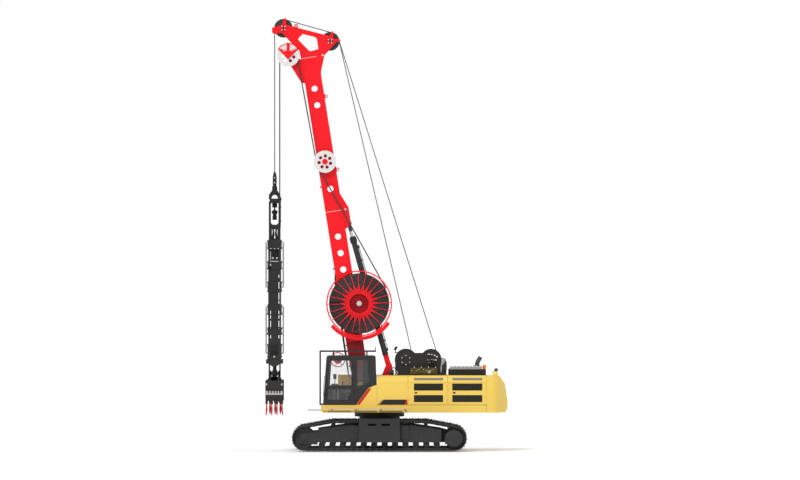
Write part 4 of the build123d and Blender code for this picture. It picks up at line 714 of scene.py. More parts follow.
def build_soft_finishes():
    """Rope, rubber, cloth, plastic and glass."""
    tree, shader = new_material("rope_lay")
    lay = add_node(tree, "SeparateXYZ", {0: add_node(tree, "UVMap", uv_map="lay").outputs["UV"]}).outputs
    phase = plus(tree, times(tree, lay["X"], 6.0), times(tree, lay["Y"], 30.0))
    strand = maths(tree, "ABSOLUTE", maths(tree, "SINE", times(tree, phase, math.pi)))
    wire(tree, shader, {
        "Base Color": mix(tree, strand, (0.03, 0.03, 0.03, 1), (0.16, 0.16, 0.16, 1)),
        "Roughness": remap(tree, strand, 0, 1, 0.6, 0.38), "Metallic": 0.8,
    })
    add_bump(tree, shader, strand, 0.8, 0.004)

    tree, shader = new_material("scuffed_rubber")
    fine = noise(tree, position(tree), 140.0, 3.0)
    scuff = remap(tree, noise(tree, position(tree), 9.0, 4.0, 0.65), 0.5, 0.72, 0, 0.6)
    wire(tree, shader, {
        "Base Color": mix(tree, scuff, (0.018, 0.018, 0.019, 1), (0.07, 0.068, 0.065, 1)),
        "Roughness": remap(tree, fine, 0.3, 0.7, 0.48, 0.66),
    })
    add_bump(tree, shader, fine, 0.25, 0.0008)

    tree, shader = new_material("seat_weave")
    threads = {"Vector": stretched(tree, position(tree), (420, 420, 420)), "Scale": 0.5}
    weft = add_node(tree, "TexWave", threads, bands_direction="Y").outputs["Fac"]
    warp = add_node(tree, "TexWave", threads, bands_direction="DIAGONAL").outputs["Fac"]
    weave = times(tree, weft, warp)
    wire(tree, shader, {
        "Base Color": mix(tree, weave, (0.022, 0.022, 0.024, 1), (0.075, 0.075, 0.08, 1)),
        "Roughness": remap(tree, weave, 0, 1, 0.95, 0.75), "Sheen Weight": 0.25,
    })
    add_bump(tree, shader, weave, 0.5, 0.001)

    tree, shader = new_material("cab_plastic")
    grain = noise(tree, position(tree), 220.0, 2.0)
    wire(tree, shader, {
        "Base Color": mix(tree, grain, (0.025, 0.025, 0.027, 1), (0.05, 0.05, 0.052, 1)),
        "Roughness": remap(tree, grain, 0.3, 0.7, 0.5, 0.62),
    })
    add_bump(tree, shader, grain, 0.3, 0.0006)

    tree, shader = new_material("clear_glass")
    smear = noise(tree, stretched(tree, position(tree), (3, 3, 1.2)), 1.0, 3.0)
    clear, smeared = (0.96, 0.965, 0.965, 1), (0.93, 0.935, 0.935, 1)
    wire(tree, shader, {
        "Base Color": mix(tree, remap(tree, smear, 0.4, 0.7), clear, smeared),
        "Roughness": remap(tree, smear, 0.35, 0.7, 0.03, 0.09), "Transmission Weight": 0.96, "IOR": 1.1,
    })


# Finish of each CAD node
NODE_FINISHES = {
    "boom_red": (
        "boom_upper", "boom_head", "pulley_bracket", "hose_reel", "reel_guard", "luff_bracket", "cable_reel",
    ),
    # The lower boom's red carries painted shade under the hose reel.
    "boom_foot_shaded_red": ("boom_lower",),
    "house_yellow": (
        "upper_deck", "engine_house", "tank_box", "cab_corner_cover",
        "house_door_left_mid", "house_door_left_rear", "house_door_right_mid", "house_door_right_rear",
    ),
    "walk_yellow": ("catwalks",),
    "tail_casting": ("counterweight",),
    "grab_black": ("grab_frame", "grab_head", "grab_cylinder"),
    "jaw_black": ("jaw_left", "jaw_right", "push_rods"),
    "tooth_red": ("jaw_teeth_left",),
    # The far jaw's teeth wear the darker red as painted shade.
    "tooth_shaded_red": ("jaw_teeth_right",),
    "winch_black": ("winch_frame", "winch_drum_front", "winch_drum_rear", "cable_reel_stand"),
    "barrel_black": ("luff_barrels",),
    "cab_charcoal": ("cab_shell", "cab_door", "cab_guard"),
    "fitting_grey": ("grab_guides",),
    "pulley_paint": ("hose_pulley_top", "hose_pulley_mid"),
    "engine_paint": ("engine_block",),
    "track_frame_black": ("car_body", "track_frame_left", "track_frame_right", "slew_ring"),
    "shoe_steel": ("track_left", "track_right", "running_gear"),
    "sheave_dark": ("front_sheaves", "rear_sheaves"),
    "exhaust_dark": ("exhaust",),
    "chromed_rod": ("luff_rods",),
    "cooler_black": ("radiator_box",),
    "lamp_orange": ("lamps",),
    "clear_glass": ("cab_glass", "cab_door_glass"),
    "cab_plastic": ("operator_seat",),
    "rope_lay": ("winch_ropes", "head_ropes", "rope_falls"),
    "scuffed_rubber": ("hose_run", "hose_falls", "reel_hose"),
}


class CARRIER_OT_finishes(bpy.types.Operator):
    """Builds the finishes and puts one on every CAD node"""

    bl_idname = "carrier.finishes"
    bl_label = "Finishes"

    def execute(self, context):
        build_finishes(context.scene.carrier_colours)
        dressed = set()
        for finish, names in NODE_FINISHES.items():
            for name in names:
                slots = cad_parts[name].material_slots
                for index in range(len(slots)):
                    slots[index].material = bpy.data.materials[finish]
                dressed.add(name)
        left = set(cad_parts) - dressed
        if left:
            raise RuntimeError(f"no finish for {sorted(left)}")
        return {"FINISHED"}


class CARRIER_OT_ropes(bpy.types.Operator):
    """Hoist ropes from the winches over the boom head down to the grab"""

    bl_idname = "carrier.ropes"
    bl_label = "Hoist ropes"

    def execute(self, context):
        radius = context.scene.carrier_sizes.rope / 2
        line = SHEAVE_GROOVE + radius
        for drum, y, name in zip(DRUMS, (ROPE_Y, -ROPE_Y), ("front", "rear")):
            side = Vector((0, y, 0))
            start, end = touch_points(drum, DRUM_RADIUS + radius, REAR_SHEAVE, line, 1)
            run = end - start
            bm = bmesh.new()
            run_tube(bm, start_tube(bm, start + side, run, radius, ROPE_SIDES), run, 24)
            write_lay(bm)
            rope = add_piece(f"winch_rope_{name}", bm, "rope_lay", None)
            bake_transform(rope, "upper", "boom", start + side, start + side + run * ROPE_BEND)
            if name == "front":
                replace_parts(rope, "winch_ropes")
        bm = bmesh.new()
        head_start, head_end = touch_points(REAR_SHEAVE, line, FRONT_SHEAVE, line, 1)
        for drum, y in zip(DRUMS, (ROPE_Y, -ROPE_Y)):
            side = Vector((0, y, 0))
            arrive = touch_points(drum, DRUM_RADIUS + radius, REAR_SHEAVE, line, 1)[1]
            begin, leave = wheel_angle(REAR_SHEAVE, arrive), wheel_angle(REAR_SHEAVE, head_start)
            ring = start_tube(bm, arrive + side, UP, radius, ROPE_SIDES)
            ring = wrap_tube(bm, ring, REAR_SHEAVE, begin - leave, 8)
            ring = run_tube(bm, ring, head_end - head_start)
            wrap_tube(bm, ring, FRONT_SHEAVE, wheel_angle(FRONT_SHEAVE, head_end) + math.radians(4), 8)
        write_lay(bm)
        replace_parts(add_piece("head_rope_pair", bm, "rope_lay", "boom"), "head_ropes")
        drop = FRONT_SHEAVE.z - SOCKET_TOP
        outer, inner = bmesh.new(), bmesh.new()
        for y in (ROPE_Y, -ROPE_Y):
            top = Vector((GRAB_X, y, FRONT_SHEAVE.z))
            run_tube(outer, start_tube(outer, top, -UP, radius, ROPE_SIDES), -UP * drop)
            low = Vector((GRAB_X, y, SOCKET_TOP - 0.02))
            ring = start_tube(inner, low, UP, radius * INNER_SHARE, ROPE_SIDES)
            run_tube(inner, ring, UP * (drop * ROPE_INNER))
        write_lay(outer)
        write_lay(inner)
        falls = add_piece("rope_fall_pair", outer, "rope_lay", "falls")
        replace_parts(falls, "rope_falls")
        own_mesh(falls)
        add_piece("rope_fall_ends", inner, "rope_lay", "grab")
        return {"FINISHED"}


class CARRIER_OT_hoses(bpy.types.Operator):
    """Grab hoses: turns on the reel, the run up the boom and the fall to the grab"""

    bl_idname = "carrier.hoses"
    bl_label = "Grab hoses"

    def execute(self, context):
        radius = context.scene.carrier_sizes.hose / 2
        line = PULLEY_GROOVE + radius
        rows = (-HOSE_GAP / 2, HOSE_GAP / 2)
        bm = bmesh.new()
        count = round((REEL_WOUND - REEL_HUB) / context.scene.carrier_sizes.hose)
        pitch = (REEL_WOUND - REEL_HUB) / count
        for turn in range(count):
            for row in rows:
                out = REEL_HUB + pitch * (turn + 0.5)
                seat = REEL + Vector((out, row, 0))
                ring = start_tube(bm, seat, UP, pitch * 0.51, 8)
                wrap_tube(bm, ring, REEL, -2 * math.pi, 56)
        write_lay(bm)
        wound = add_piece("reel_hose_turns", bm, "scuffed_rubber", "hose_reel")
        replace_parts(wound, "reel_hose")

        leave, touch = touch_points(REEL, REEL_WOUND + radius, MID_PULLEY, line, 1, crossed=True)
        rise, arrive = touch_points(MID_PULLEY, line, TOP_PULLEY, line, -1, crossed=True)
        bm = bmesh.new()
        for row in rows:
            side = Vector((0, row, 0))
            ring = start_tube(bm, leave + side, touch - leave, radius, HOSE_SIDES)
            ring = run_tube(bm, ring, touch - leave, 8)
            turn = wheel_angle(MID_PULLEY, rise) - wheel_angle(MID_PULLEY, touch)
            ring = wrap_tube(bm, ring, MID_PULLEY, -turn, 6)
            ring = run_tube(bm, ring, arrive - rise, 8)
            wrap_tube(bm, ring, TOP_PULLEY, wheel_angle(TOP_PULLEY, arrive), 10)
        write_lay(bm)
        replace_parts(add_piece("hose_run_pair", bm, "scuffed_rubber", "boom"), "hose_run")

        x = TOP_PULLEY.x + line
        turn_end = TOP_PULLEY.z - HOSE_BEND
        drop = turn_end - HOSE_END
        top, outer, inner = bmesh.new(), bmesh.new(), bmesh.new()
        for row in rows:
            y = TOP_PULLEY.y + row
            ring = start_tube(top, Vector((x, y, TOP_PULLEY.z)), -UP, radius, HOSE_SIDES)
            run_tube(top, ring, -UP * HOSE_BEND, 14)
            ring = start_tube(outer, Vector((x, y, turn_end)), -UP, radius, HOSE_SIDES)
            run_tube(outer, ring, -UP * drop)
            ring = start_tube(inner, Vector((x, y, HOSE_END - 0.01)), UP, radius * INNER_SHARE, HOSE_SIDES)
            run_tube(inner, ring, UP * HOSE_INNER)
        for mesh in (top, outer, inner):
            write_lay(mesh)
        upper = add_piece("hose_fall_top", top, "scuffed_rubber", None)
        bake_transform(upper, "boom", "falls", (x, 0, TOP_PULLEY.z), (x, 0, turn_end + 0.1))
        fall = add_piece("hose_fall_pair", outer, "scuffed_rubber", "falls")
        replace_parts(fall, "hose_falls")
        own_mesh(fall)
        add_piece("hose_fall_ends", inner, "scuffed_rubber", "grab")
        return {"FINISHED"}


# Tracks


def track_stations(share):
    """Matrices along a track's loop, one a shoe: X runs on along it and Z points out of it."""
    wheels = [(Vector((SWING_X + x, 0, z)), radius + CHAIN_HEIGHT) for x, z, radius in RUN_WHEELS]
    lines = [touch_points(*near, *far, -1) for near, far in zip(wheels, wheels[1:] + wheels[:1])]
    legs = []
    for index, (centre, radius) in enumerate(wheels):
        start, end = lines[index]
        first = wheel_angle(centre, lines[index - 1][1])
        turn = (wheel_angle(centre, start) - first) % (2 * math.pi)
        legs.append((turn * radius, partial(round_wheel, centre, radius, first)))
        legs.append(((end - start).length, partial(along_line, start, end)))
    total = sum(length for length, _ in legs)
    rearmost = wheels[0][1] * (math.pi - wheel_angle(wheels[0][0], lines[-1][1]))
    places = []
    for shoe in range(SHOE_COUNT):
        run = (rearmost + (shoe + share) * total / SHOE_COUNT) % total
        for length, place_at in legs:
            if run <= length:
                break
            run -= length
        seat, out = place_at(run)
        turn = Matrix((out.cross(ACROSS), -ACROSS, out)).transposed().to_4x4()
        places.append(Matrix.Translation(seat) @ turn)
    return places, total / SHOE_COUNT


def round_wheel(centre, radius, first, run):
    angle = first + run / radius
    out = Vector((math.cos(angle), 0, math.sin(angle)))
    return centre + out * (radius - ARC_SINK), out


def along_line(start, end, run):
    heading = (end - start).normalized()
    return start + heading * run, ACROSS.cross(heading)


def add_shoe(bm, place, pitch, bolt):
    """One track shoe: plate with its lip, two grousers, a pair of links with their pin, and four bolts."""
    half = SHOE_WIDTH / 2
    add_block(bm, (-0.47 * pitch, -half, 0), (0.47 * pitch, half, SHOE_PLATE), 0.005, place)
    add_block(bm, (0.38 * pitch, 0.01 - half, -0.014), (0.59 * pitch, half - 0.01, 0.004), 0.003, place)
    for share in (-0.375, 0.105):
        x = share * pitch
        low, high = (x - 0.014, 0.004 - half, SHOE_PLATE - 0.002), (x + 0.014, half - 0.004, SHOE_TOP)
        add_block(bm, low, high, 0.004, place)
    for y in (-LINK_Y, LINK_Y):
        low, high = (-0.53 * pitch, y - 0.028, -CHAIN_HEIGHT), (0.41 * pitch, y + 0.028, 0.002)
        add_block(bm, low, high, 0.012, place)
        for share in (-0.14, 0.33):
            add_bolt(bm, place @ Vector((share * pitch, y, SHOE_PLATE)), place.to_3x3() @ UP, bolt * 0.8)
    pin = place @ Vector((-0.5 * pitch, 0, -0.5 * CHAIN_HEIGHT))
    add_bar(bm, pin - ACROSS * 0.15, pin + ACROSS * 0.15, 0.024, 10)


CAP_PROFILE = ((0, -0.01), (1, -0.01), (1, 0.012), (0.8, 0.028), (0, 0.028))


def add_cap(bm, centre, axis, radius, steps=24):
    """A turned cover plate with a chamfered rim."""
    add_turned(bm, centre, axis, [(out * radius, along) for out, along in CAP_PROFILE], steps)


def add_track_covers(covers, heads, side, bolt):
    """Final drive, idler and rollers of one track."""
    out = ACROSS * side
    drive = Vector((SWING_X - RUN_REACH, side * (TRACK_Y + DRIVE_FACE), AXLE_Z))
    add_cap(covers, drive, out, 0.285, 40)
    add_bolt_ring(heads, drive + out * 0.012, out, 0.255, 20, bolt * 0.6)
    add_cap(covers, drive + out * 0.02, out, 0.12)
    idler = Vector((SWING_X + RUN_REACH, side * (TRACK_Y + FRAME_HALF), AXLE_Z))
    add_cap(covers, idler, out, 0.13)
    add_bolt_ring(heads, idler + out * 0.012, out, 0.116, 8, bolt * 0.6)
    hub = Vector((SWING_X - RUN_REACH, side * TRACK_Y, AXLE_Z))
    for index in range(SPROCKET_TEETH):
        turn = Matrix.Translation(hub) @ Matrix.Rotation(2 * math.pi * index / SPROCKET_TEETH, 4, "Y")
        add_block(covers, (-0.026, -0.03, 0.32), (0.026, 0.03, 0.392), 0.012, turn)
    for index in range(ROLLER_COUNT):
        x = SWING_X + ROLLER_SPAN * (index / (ROLLER_COUNT - 1) - 0.5)
        seat = Vector((x, side * (TRACK_Y + ROLLER_FACE), ROLLER_Z))
        add_cap(covers, seat, out, 0.06, 18)
        add_bolt_ring(heads, seat + out * 0.026, out, 0.034, 3, bolt * 0.35)
    wall = side * (TRACK_Y + FRAME_HALF)
    for x in (1.05, 1.5, 1.95):
        for z in (0.47, 0.60):
            for end in (1, -1):
                add_bolt(heads, (SWING_X + end * x, wall, z), out, bolt)


class CARRIER_OT_tracks(bpy.types.Operator):
    """Track shoes with links, pins and bolts, and the covers of the wheels and rollers"""

    bl_idname = "carrier.tracks"
    bl_label = "Tracks"

    def execute(self, context):
        bolt = context.scene.carrier_sizes.bolt
        stations, pitch = track_stations(0.5)
        covers, heads = bmesh.new(), bmesh.new()
        for side, hand in ((1, "left"), (-1, "right")):
            bm = bmesh.new()
            for station in stations:
                add_shoe(bm, Matrix.Translation((0, side * TRACK_Y, 0)) @ station, pitch, bolt)
            shoes = add_piece(f"track_shoes_{hand}", bm, "shoe_steel", "undercarriage")
            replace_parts(shoes, f"track_{hand}")
            add_track_covers(covers, heads, side, bolt)
        add_piece("track_covers", covers, "track_frame_black", "undercarriage")
        add_piece("track_bolts", heads, "bolt_dark", "undercarriage")
        return {"FINISHED"}


# House


def add_shoulder_seam(bm, side, x):
    """A thin joint line up the side and over the rounded shoulder."""
    add_side_block(bm, side, span(x, 0.004), SEAM_SKIN, (DOOR_HIGH, HOUSE_TOP - SHOULDER))
    centre = Vector((SWING_X + x, side * (HALF_WIDTH - SHOULDER), HOUSE_TOP - SHOULDER))
    corners = ((-0.004, -0.001), (-0.004, 0.001), (0.004, 0.001), (0.004, -0.001))
    verts = [bm.verts.new(centre + Vector((step, side * (SHOULDER + lift), 0))) for step, lift in corners]
    edges = [bm.edges.new(pair) for pair in zip(verts, verts[1:] + verts[:1])]
    bmesh.ops.spin(
        bm, geom=verts + edges, cent=centre, axis=(side, 0, 0), dvec=(0, 0, 0), angle=math.pi / 2, steps=10
    )


def add_grille(bm, side, x, z):
    """Dark louvres in one row of a door's recess: backing, blades, uprights and a frame."""
    (rear, front), (low, high) = x, z
    add_side_block(bm, side, x, (GRILLE_FACE - 0.001, GRILLE_FACE), z)
    blade_y, frame_y = (GRILLE_FACE, GRILLE_FACE + 0.008), (GRILLE_FACE, GRILLE_FACE + 0.009)
    inner = (rear + 0.008, front - 0.008)
    for index in range(GRILLE_BLADES):
        height = low + (high - low) * (index + 0.5) / GRILLE_BLADES
        add_side_block(bm, side, inner, blade_y, (height - 0.005, height + 0.004), 0.001)
    for index in range(1, 6):
        post = rear + (front - rear) * index / 6
        add_side_block(bm, side, span(post, 0.005), blade_y, z, 0.001)
    for post in inner:
        add_side_block(bm, side, span(post, 0.008), frame_y, z, 0.002)
    for height in (low + 0.008, high - 0.008):
        add_side_block(bm, side, x, frame_y, span(height, 0.008), 0.002)


def add_latch(bm, side, x, z):
    """Recess plate and paddle of a door latch."""
    plate, paddle = (HALF_WIDTH - 0.001, HALF_WIDTH + 0.005), (HALF_WIDTH + 0.004, HALF_WIDTH + 0.014)
    add_side_block(bm, side, span(x, 0.045), plate, span(z, 0.03), 0.004)
    add_side_block(bm, side, (x - 0.03, x + 0.012), paddle, span(z, 0.012), 0.004)


def add_vent(bm, side, rear, front):
    """Ribbed strip in a shoulder's vent recess."""
    place = Matrix.Translation((SWING_X, side * (HALF_WIDTH - SHOULDER), HOUSE_TOP - SHOULDER))
    place = place @ Matrix.Rotation(side * VENT_TILT, 4, "X")
    base = SHOULDER - 0.0125

    def strip(x, rise, z, edge):
        near, far = on_side(side, (base, base + rise))
        add_block(bm, (x[0], near, z[0]), (x[1], far, z[1]), edge, place)

    strip((rear, front), 0.004, (-VENT_HALF, VENT_HALF), 0)
    for index in range(VENT_RIBS):
        x = rear + (front - rear) * (index + 0.5) / VENT_RIBS
        strip(span(x, 0.007), 0.011, (-VENT_HALF, VENT_HALF), 0.002)
    for z in (-0.015, 0.015):
        strip((rear, front), 0.010, span(z, 0.004), 0.001)


def add_house_bands():
    """Plain colour bands on the house sides and on the cover behind the cab."""
    black, red = bmesh.new(), bmesh.new()
    low, high = BAND_Z
    for side in (1, -1):
        add_side_plate(black, side, ((0.02, low), (-0.155, high), (-1.01, high), (-1.01, low)), *BAND_SKIN)
        slash = ((0.072, low), (0.042, low), (-0.112, high - 0.02), (-0.112, high))
        add_side_plate(black, side, slash, *BAND_SKIN)
        end = ((-0.905, low), (-0.965, high), (-1.011, high), (-1.011, low))
        add_side_plate(red, side, end, BAND_SKIN[0] + 0.0006, BAND_SKIN[1])
    stripe = ((0.822, low), (0.700, low), (0.280, 2.262), (0.392, 2.268))
    add_side_plate(red, 1, stripe, *BAND_SKIN)
    add_piece("house_bands", black, "band_black", "upper")
    add_piece("house_stripes", red, "stripe_red", "upper")


def add_walkways(bolt):
    """Grating, edge strips and bolts of the walkways and the front step."""
    edge, heads, bars = bmesh.new(), bmesh.new(), bmesh.new()
    outer = HALF_WIDTH + WALK_WIDTH
    for side in (1, -1):
        lip_y, lip_z = (outer - 0.03, outer), (WALK_TOP - 0.001, WALK_TOP + 0.019)
        add_side_block(edge, side, WALK_X, lip_y, lip_z, 0.004)
        add_side_block(edge, side, WALK_X, span(outer, 0.002), span(WALK_TOP, 0.017), 0.001)
        for x in (-0.928, -0.061, 0.824, 1.699):
            add_bolt(heads, (SWING_X + x, side * (outer + 0.002), WALK_TOP - 0.006), ACROSS * side, bolt)
        across = (HALF_WIDTH + 0.02, outer - 0.03)
        for index in range(WALK_BARS):
            x = WALK_X[0] + 0.05 * (index + 1)
            add_side_block(bars, side, span(x, 0.006), across, (WALK_TOP - 0.002, WALK_TOP + 0.007))
        for y in (0.10, 0.20, 0.30):
            rail = span(HALF_WIDTH + y, 0.004)
            add_side_block(bars, side, WALK_X, rail, (WALK_TOP - 0.002, WALK_TOP + 0.010))
    for index in range(8):
        x = DECK_FRONT + 0.05 + index * 0.057
        add_side_block(bars, 1, span(x, 0.006), (0.62, 1.58), (STEP_TOP - 0.001, STEP_TOP + 0.006))
    add_piece("walkway_edges", edge, "walk_grey", "upper")
    add_piece("walkway_bolts", heads, "bolt_dark", "upper")
    add_piece("walkway_grating", bars, "walk_grey", "upper")


def add_roof_fittings(bolt):
    """Cooler louvres and the exhaust's foot."""
    louvres, stack = bmesh.new(), bmesh.new()
    low, high = (corner - Vector((SWING_X, 0, 0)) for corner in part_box("radiator_box"))
    blade_x, blade_y = (low.x + 0.03, high.x - 0.03), (high.y, high.y + 0.008)
    post_y, post_z = (high.y, high.y + 0.011), (HOUSE_TOP + 0.01, COOLER_TOP - 0.01)
    for side in (1, -1):
        for index in range(9):
            z = HOUSE_TOP + 0.027 + index * 0.02
            add_side_block(louvres, side, blade_x, blade_y, (z - 0.006, z + 0.005), 0.002)
        for index in range(7):
            x = low.x + 0.02 + (high.x - low.x - 0.04) * index / 6
            add_side_block(louvres, side, span(x, 0.012), post_y, post_z, 0.003)
    add_piece("cooler_louvres", louvres, "grille_black", "upper")
    foot = Vector((SWING_X - 3.520, -0.350, 3.040))
    flange = ((0.079, 0), (0.125, 0), (0.125, 0.014), (0.092, 0.022), (0.079, 0.022))
    add_turned(stack, foot, UP, flange, 28)
    add_turned(stack, foot + UP * 0.07, UP, collar(0.079, 0.088, 0.03), 28)
    add_bolt_ring(stack, foot + UP * 0.014, UP, 0.108, 6, bolt * 0.5)
    add_piece("exhaust_clamps", stack, "exhaust_dark", "upper")


class CARRIER_OT_house(bpy.types.Operator):
    """Grilles, shoulder vents, latches, seams, plain bands and walkway edges of the house"""

    bl_idname = "carrier.house"
    bl_label = "House"

    def execute(self, context):
        bolt = context.scene.carrier_sizes.bolt
        seams, vents = bmesh.new(), bmesh.new()
        rearmost = DOORS["rear"][1]
        for side, hand in ((1, "left"), (-1, "right")):
            for name, (front, rear, grille_front, grille_rear) in DOORS.items():
                bm = bmesh.new()
                for row in GRILLE_ROWS:
                    add_grille(bm, side, (grille_rear, grille_front), row)
                add_latch(bm, side, grille_front - 0.07, (GRILLE_ROWS[0][1] + GRILLE_ROWS[1][0]) / 2)
                door = f"house_door_{hand}_{name}"
                add_piece(f"door_grilles_{hand}_{name}", bm, "grille_black", door)
                add_vent(vents, side, grille_rear, grille_front)
            split = (DOORS["mid"][1] + DOORS["rear"][0]) / 2
            for x in (DOORS["mid"][0] - 0.006, split, rearmost + 0.006):
                add_shoulder_seam(seams, side, x)
            add_side_block(seams, side, (rearmost, HOUSE_FRONT), SEAM_SKIN, span(DECK_TOP, 0.004))
            add_side_block(seams, side, (rearmost - 0.008, rearmost), SEAM_SKIN, (1.42, DOOR_LOW))
        add_piece("house_seams", seams, "seam_dark", "upper")
        add_piece("shoulder_vents", vents, "vent_grey", "upper")
        add_house_bands()
        add_walkways(bolt)
        add_roof_fittings(bolt)
        return {"FINISHED"}


# Cab


def add_pad(bm, low, high, swell):
    """A cushion: a block whose faces crown and whose sides pull in between the corners."""
    middle_of, half = (Vector(low) + Vector(high)) / 2, (Vector(high) - Vector(low)) / 2
    bmesh.ops.create_cube(bm, size=2)
    bmesh.ops.subdivide_edges(bm, edges=bm.edges, cuts=7, use_grid_fill=True)
    for vert in bm.verts:
        unit = vert.co.copy()
        for axis in range(3):
            others = [unit[k] for k in range(3) if k != axis]
            crown = max(0.0, 1 - others[0] ** 2) * max(0.0, 1 - others[1] ** 2)
            reach = half[axis] * (0.90 + 0.10 * crown ** 0.5) + swell * half[axis] * crown
            vert.co[axis] = middle_of[axis] + unit[axis] * min(reach, half[axis] * 1.06)
    for _ in range(2):
        bmesh.ops.smooth_vert(
            bm, verts=bm.verts, factor=0.5, use_axis_x=True, use_axis_y=True, use_axis_z=True
        )


# Seat pads as (low, high) from the cab floor's middle, and how far each crowns
SEAT_PADS = {
    "seat_cushion": ((0.905, -0.235, 0.395), (1.345, 0.235, 0.500), 0.16),
    "seat_back": ((0.830, -0.225, 0.500), (0.930, 0.225, 0.980), 0.14),
    "seat_headrest": ((0.838, -0.130, 1.000), (0.920, 0.130, 1.145), 0.14),
}
LEVER_PROFILE = (
    (0, 0), (0.055, 0), (0.045, 0.02), (0.02, 0.05), (0.012, 0.06),
    (0.012, 0.13), (0.026, 0.15), (0.03, 0.20), (0.022, 0.235), (0, 0.24),
)
KNOB_PROFILE = ((0, 0), (0.02, 0), (0.042, 0.025), (0.048, 0.055), (0.038, 0.088), (0.015, 0.10), (0, 0.10))


def add_cab_controls(place):
    """Seat base, consoles, pedals, screen and levers, placed from the cab floor's middle."""
    bm, levers = bmesh.new(), bmesh.new()
    add_block(bm, (0.98, -0.17, 0.0), (1.24, 0.17, 0.03), 0.008, place)
    for index in range(6):
        z, inset = 0.035 + index * 0.055, 0.022 * (1 - index % 2)
        low, high = (0.96 + inset, inset - 0.16, z), (1.24 - inset, 0.16 - inset, z + 0.052)
        add_block(bm, low, high, 0.014, place)
    add_block(bm, (0.93, -0.22, 0.365), (1.33, 0.22, 0.398), 0.012, place)
    add_block(bm, (0.86, -0.20, 0.42), (0.90, 0.20, 0.52), 0.01, place)
    add_block(bm, (0.865, -0.06, 0.95), (0.895, 0.06, 1.03), 0.01, place)
    for y in (-0.310, 0.310):
        add_block(bm, (0.93, y - 0.065, 0.385), (1.40, y + 0.065, 0.53), 0.03, place)
        add_block(bm, (0.91, y - 0.05, 0.53), (1.20, y + 0.05, 0.60), 0.024, place)
        add_turned(bm, place @ Vector((1.32, y, 0.53)), UP, LEVER_PROFILE, 18)
    add_block(bm, (1.56, -0.12, 0.0), (1.72, 0.12, 0.60), 0.03, place)
    add_block(bm, (1.48, -0.20, 0.58), (1.73, 0.20, 0.70), 0.03, place)
    for y in (-0.13, 0.13):
        tread = place @ Matrix.Translation((1.42, y, 0.06)) @ Matrix.Rotation(math.radians(-35), 4, "Y")
        add_block(bm, (-0.09, -0.045, 0), (0.09, 0.045, 0.02), 0.006, tread)
    screen = place @ Matrix.Translation((1.60, -0.34, 0.95)) @ Matrix.Rotation(math.radians(20), 4, "Z")
    add_block(bm, (-0.02, -0.13, -0.09), (0.02, 0.13, 0.09), 0.012, screen)
    add_bar(bm, place @ Vector((1.60, -0.34, 0.0)), place @ Vector((1.60, -0.34, 0.90)), 0.016, 10)
    for x, y in ((1.50, 0.31), (1.47, -0.31)):
        foot = place @ Vector((x, y, 0.0))
        add_bar(levers, foot, foot + UP * 0.50, 0.013, 10)
        add_turned(levers, foot + UP * 0.50, UP, KNOB_PROFILE, 18)
    add_piece("cab_controls", bm, "cab_plastic", "upper")
    add_piece("cab_levers", levers, "vent_grey", "upper")


def add_cab_outside():
    """Door handles and wiper."""
    handles, fittings = bmesh.new(), bmesh.new()
    for x, low, high in ((1.905, 1.95, 2.35), (0.955, 2.38, 2.62)):
        x, near, far = SWING_X + x, CAB_SIDE - 0.004, CAB_SIDE + 0.036
        bow = [(x, near, low), (x, far, low), (x, far, (low + high) / 2), (x, far, high), (x, near, high)]
        add_pipe(handles, bow, 0.011)
    add_piece("cab_door_handles", handles, "winch_black", "cab_door")
    arm = ((2.005, 0.72, 1.93), (2.022, 0.76, 2.15), (1.990, 0.95, 2.50), (1.968, 1.02, 2.72))
    add_pipe(fittings, [Vector((SWING_X + x, y, z)) for x, y, z in arm], 0.009)
    add_piece("cab_fittings", fittings, "winch_black", "upper")


class CARRIER_OT_cab(bpy.types.Operator):
    """Seat, consoles, levers, screen, handles and wiper of the cab"""

    bl_idname = "carrier.cab"
    bl_label = "Cab"

    def execute(self, context):
        floor = Vector((SWING_X, CAB_MIDDLE, CAB_FLOOR))
        for name, (low, high, swell) in SEAT_PADS.items():
            bm = bmesh.new()
            add_pad(bm, low, high, swell)
            bmesh.ops.translate(bm, vec=floor, verts=bm.verts)
            pad = add_piece(name, bm, "seat_weave", "upper", 80)
            soft = pad.modifiers.new("soft", "SUBSURF")
            soft.levels = soft.render_levels = 1
            if name == "seat_cushion":
                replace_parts(pad, "operator_seat")
        add_cab_controls(Matrix.Translation(floor))
        add_cab_outside()
        return {"FINISHED"}


# Winches

# Light fittings on the rear winch's brake: x and z from its shaft, width, height
BRAKE_FITTINGS = (
    (0.08, 0.182, 0.10, 0.04), (-0.02, 0.175, 0.06, 0.04), (-0.12, 0.145, 0.07, 0.05),
    (-0.20, 0.095, 0.09, 0.05), (0.10, -0.01, 0.09, 0.05), (-0.02, 0.0, 0.10, 0.04),
    (-0.14, -0.02, 0.12, 0.06), (0.07, -0.117, 0.12, 0.025), (-0.05, -0.12, 0.05, 0.025),
)
HUB_RING = ((0.112, 0), (0.215, 0), (0.215, 0.02), (0.20, 0.03), (0.125, 0.03), (0.112, 0.02))
UNION = ((0, 0), (0.022, 0), (0.022, 0.03), (0.014, 0.035), (0.014, 0.06), (0, 0.06))
PUMP = (
    (0, 0), (0.075, 0), (0.085, 0.02), (0.085, 0.14), (0.06, 0.15), (0.06, 0.20), (0.04, 0.215), (0, 0.215),
)
PUMP_HOSE = (
    (0.08, 0, 0.07), (0.08, 0, 0.16), (-0.06, -0.02, 0.15), (-0.10, -0.04, 0), (-0.10, -0.05, -0.115),
)


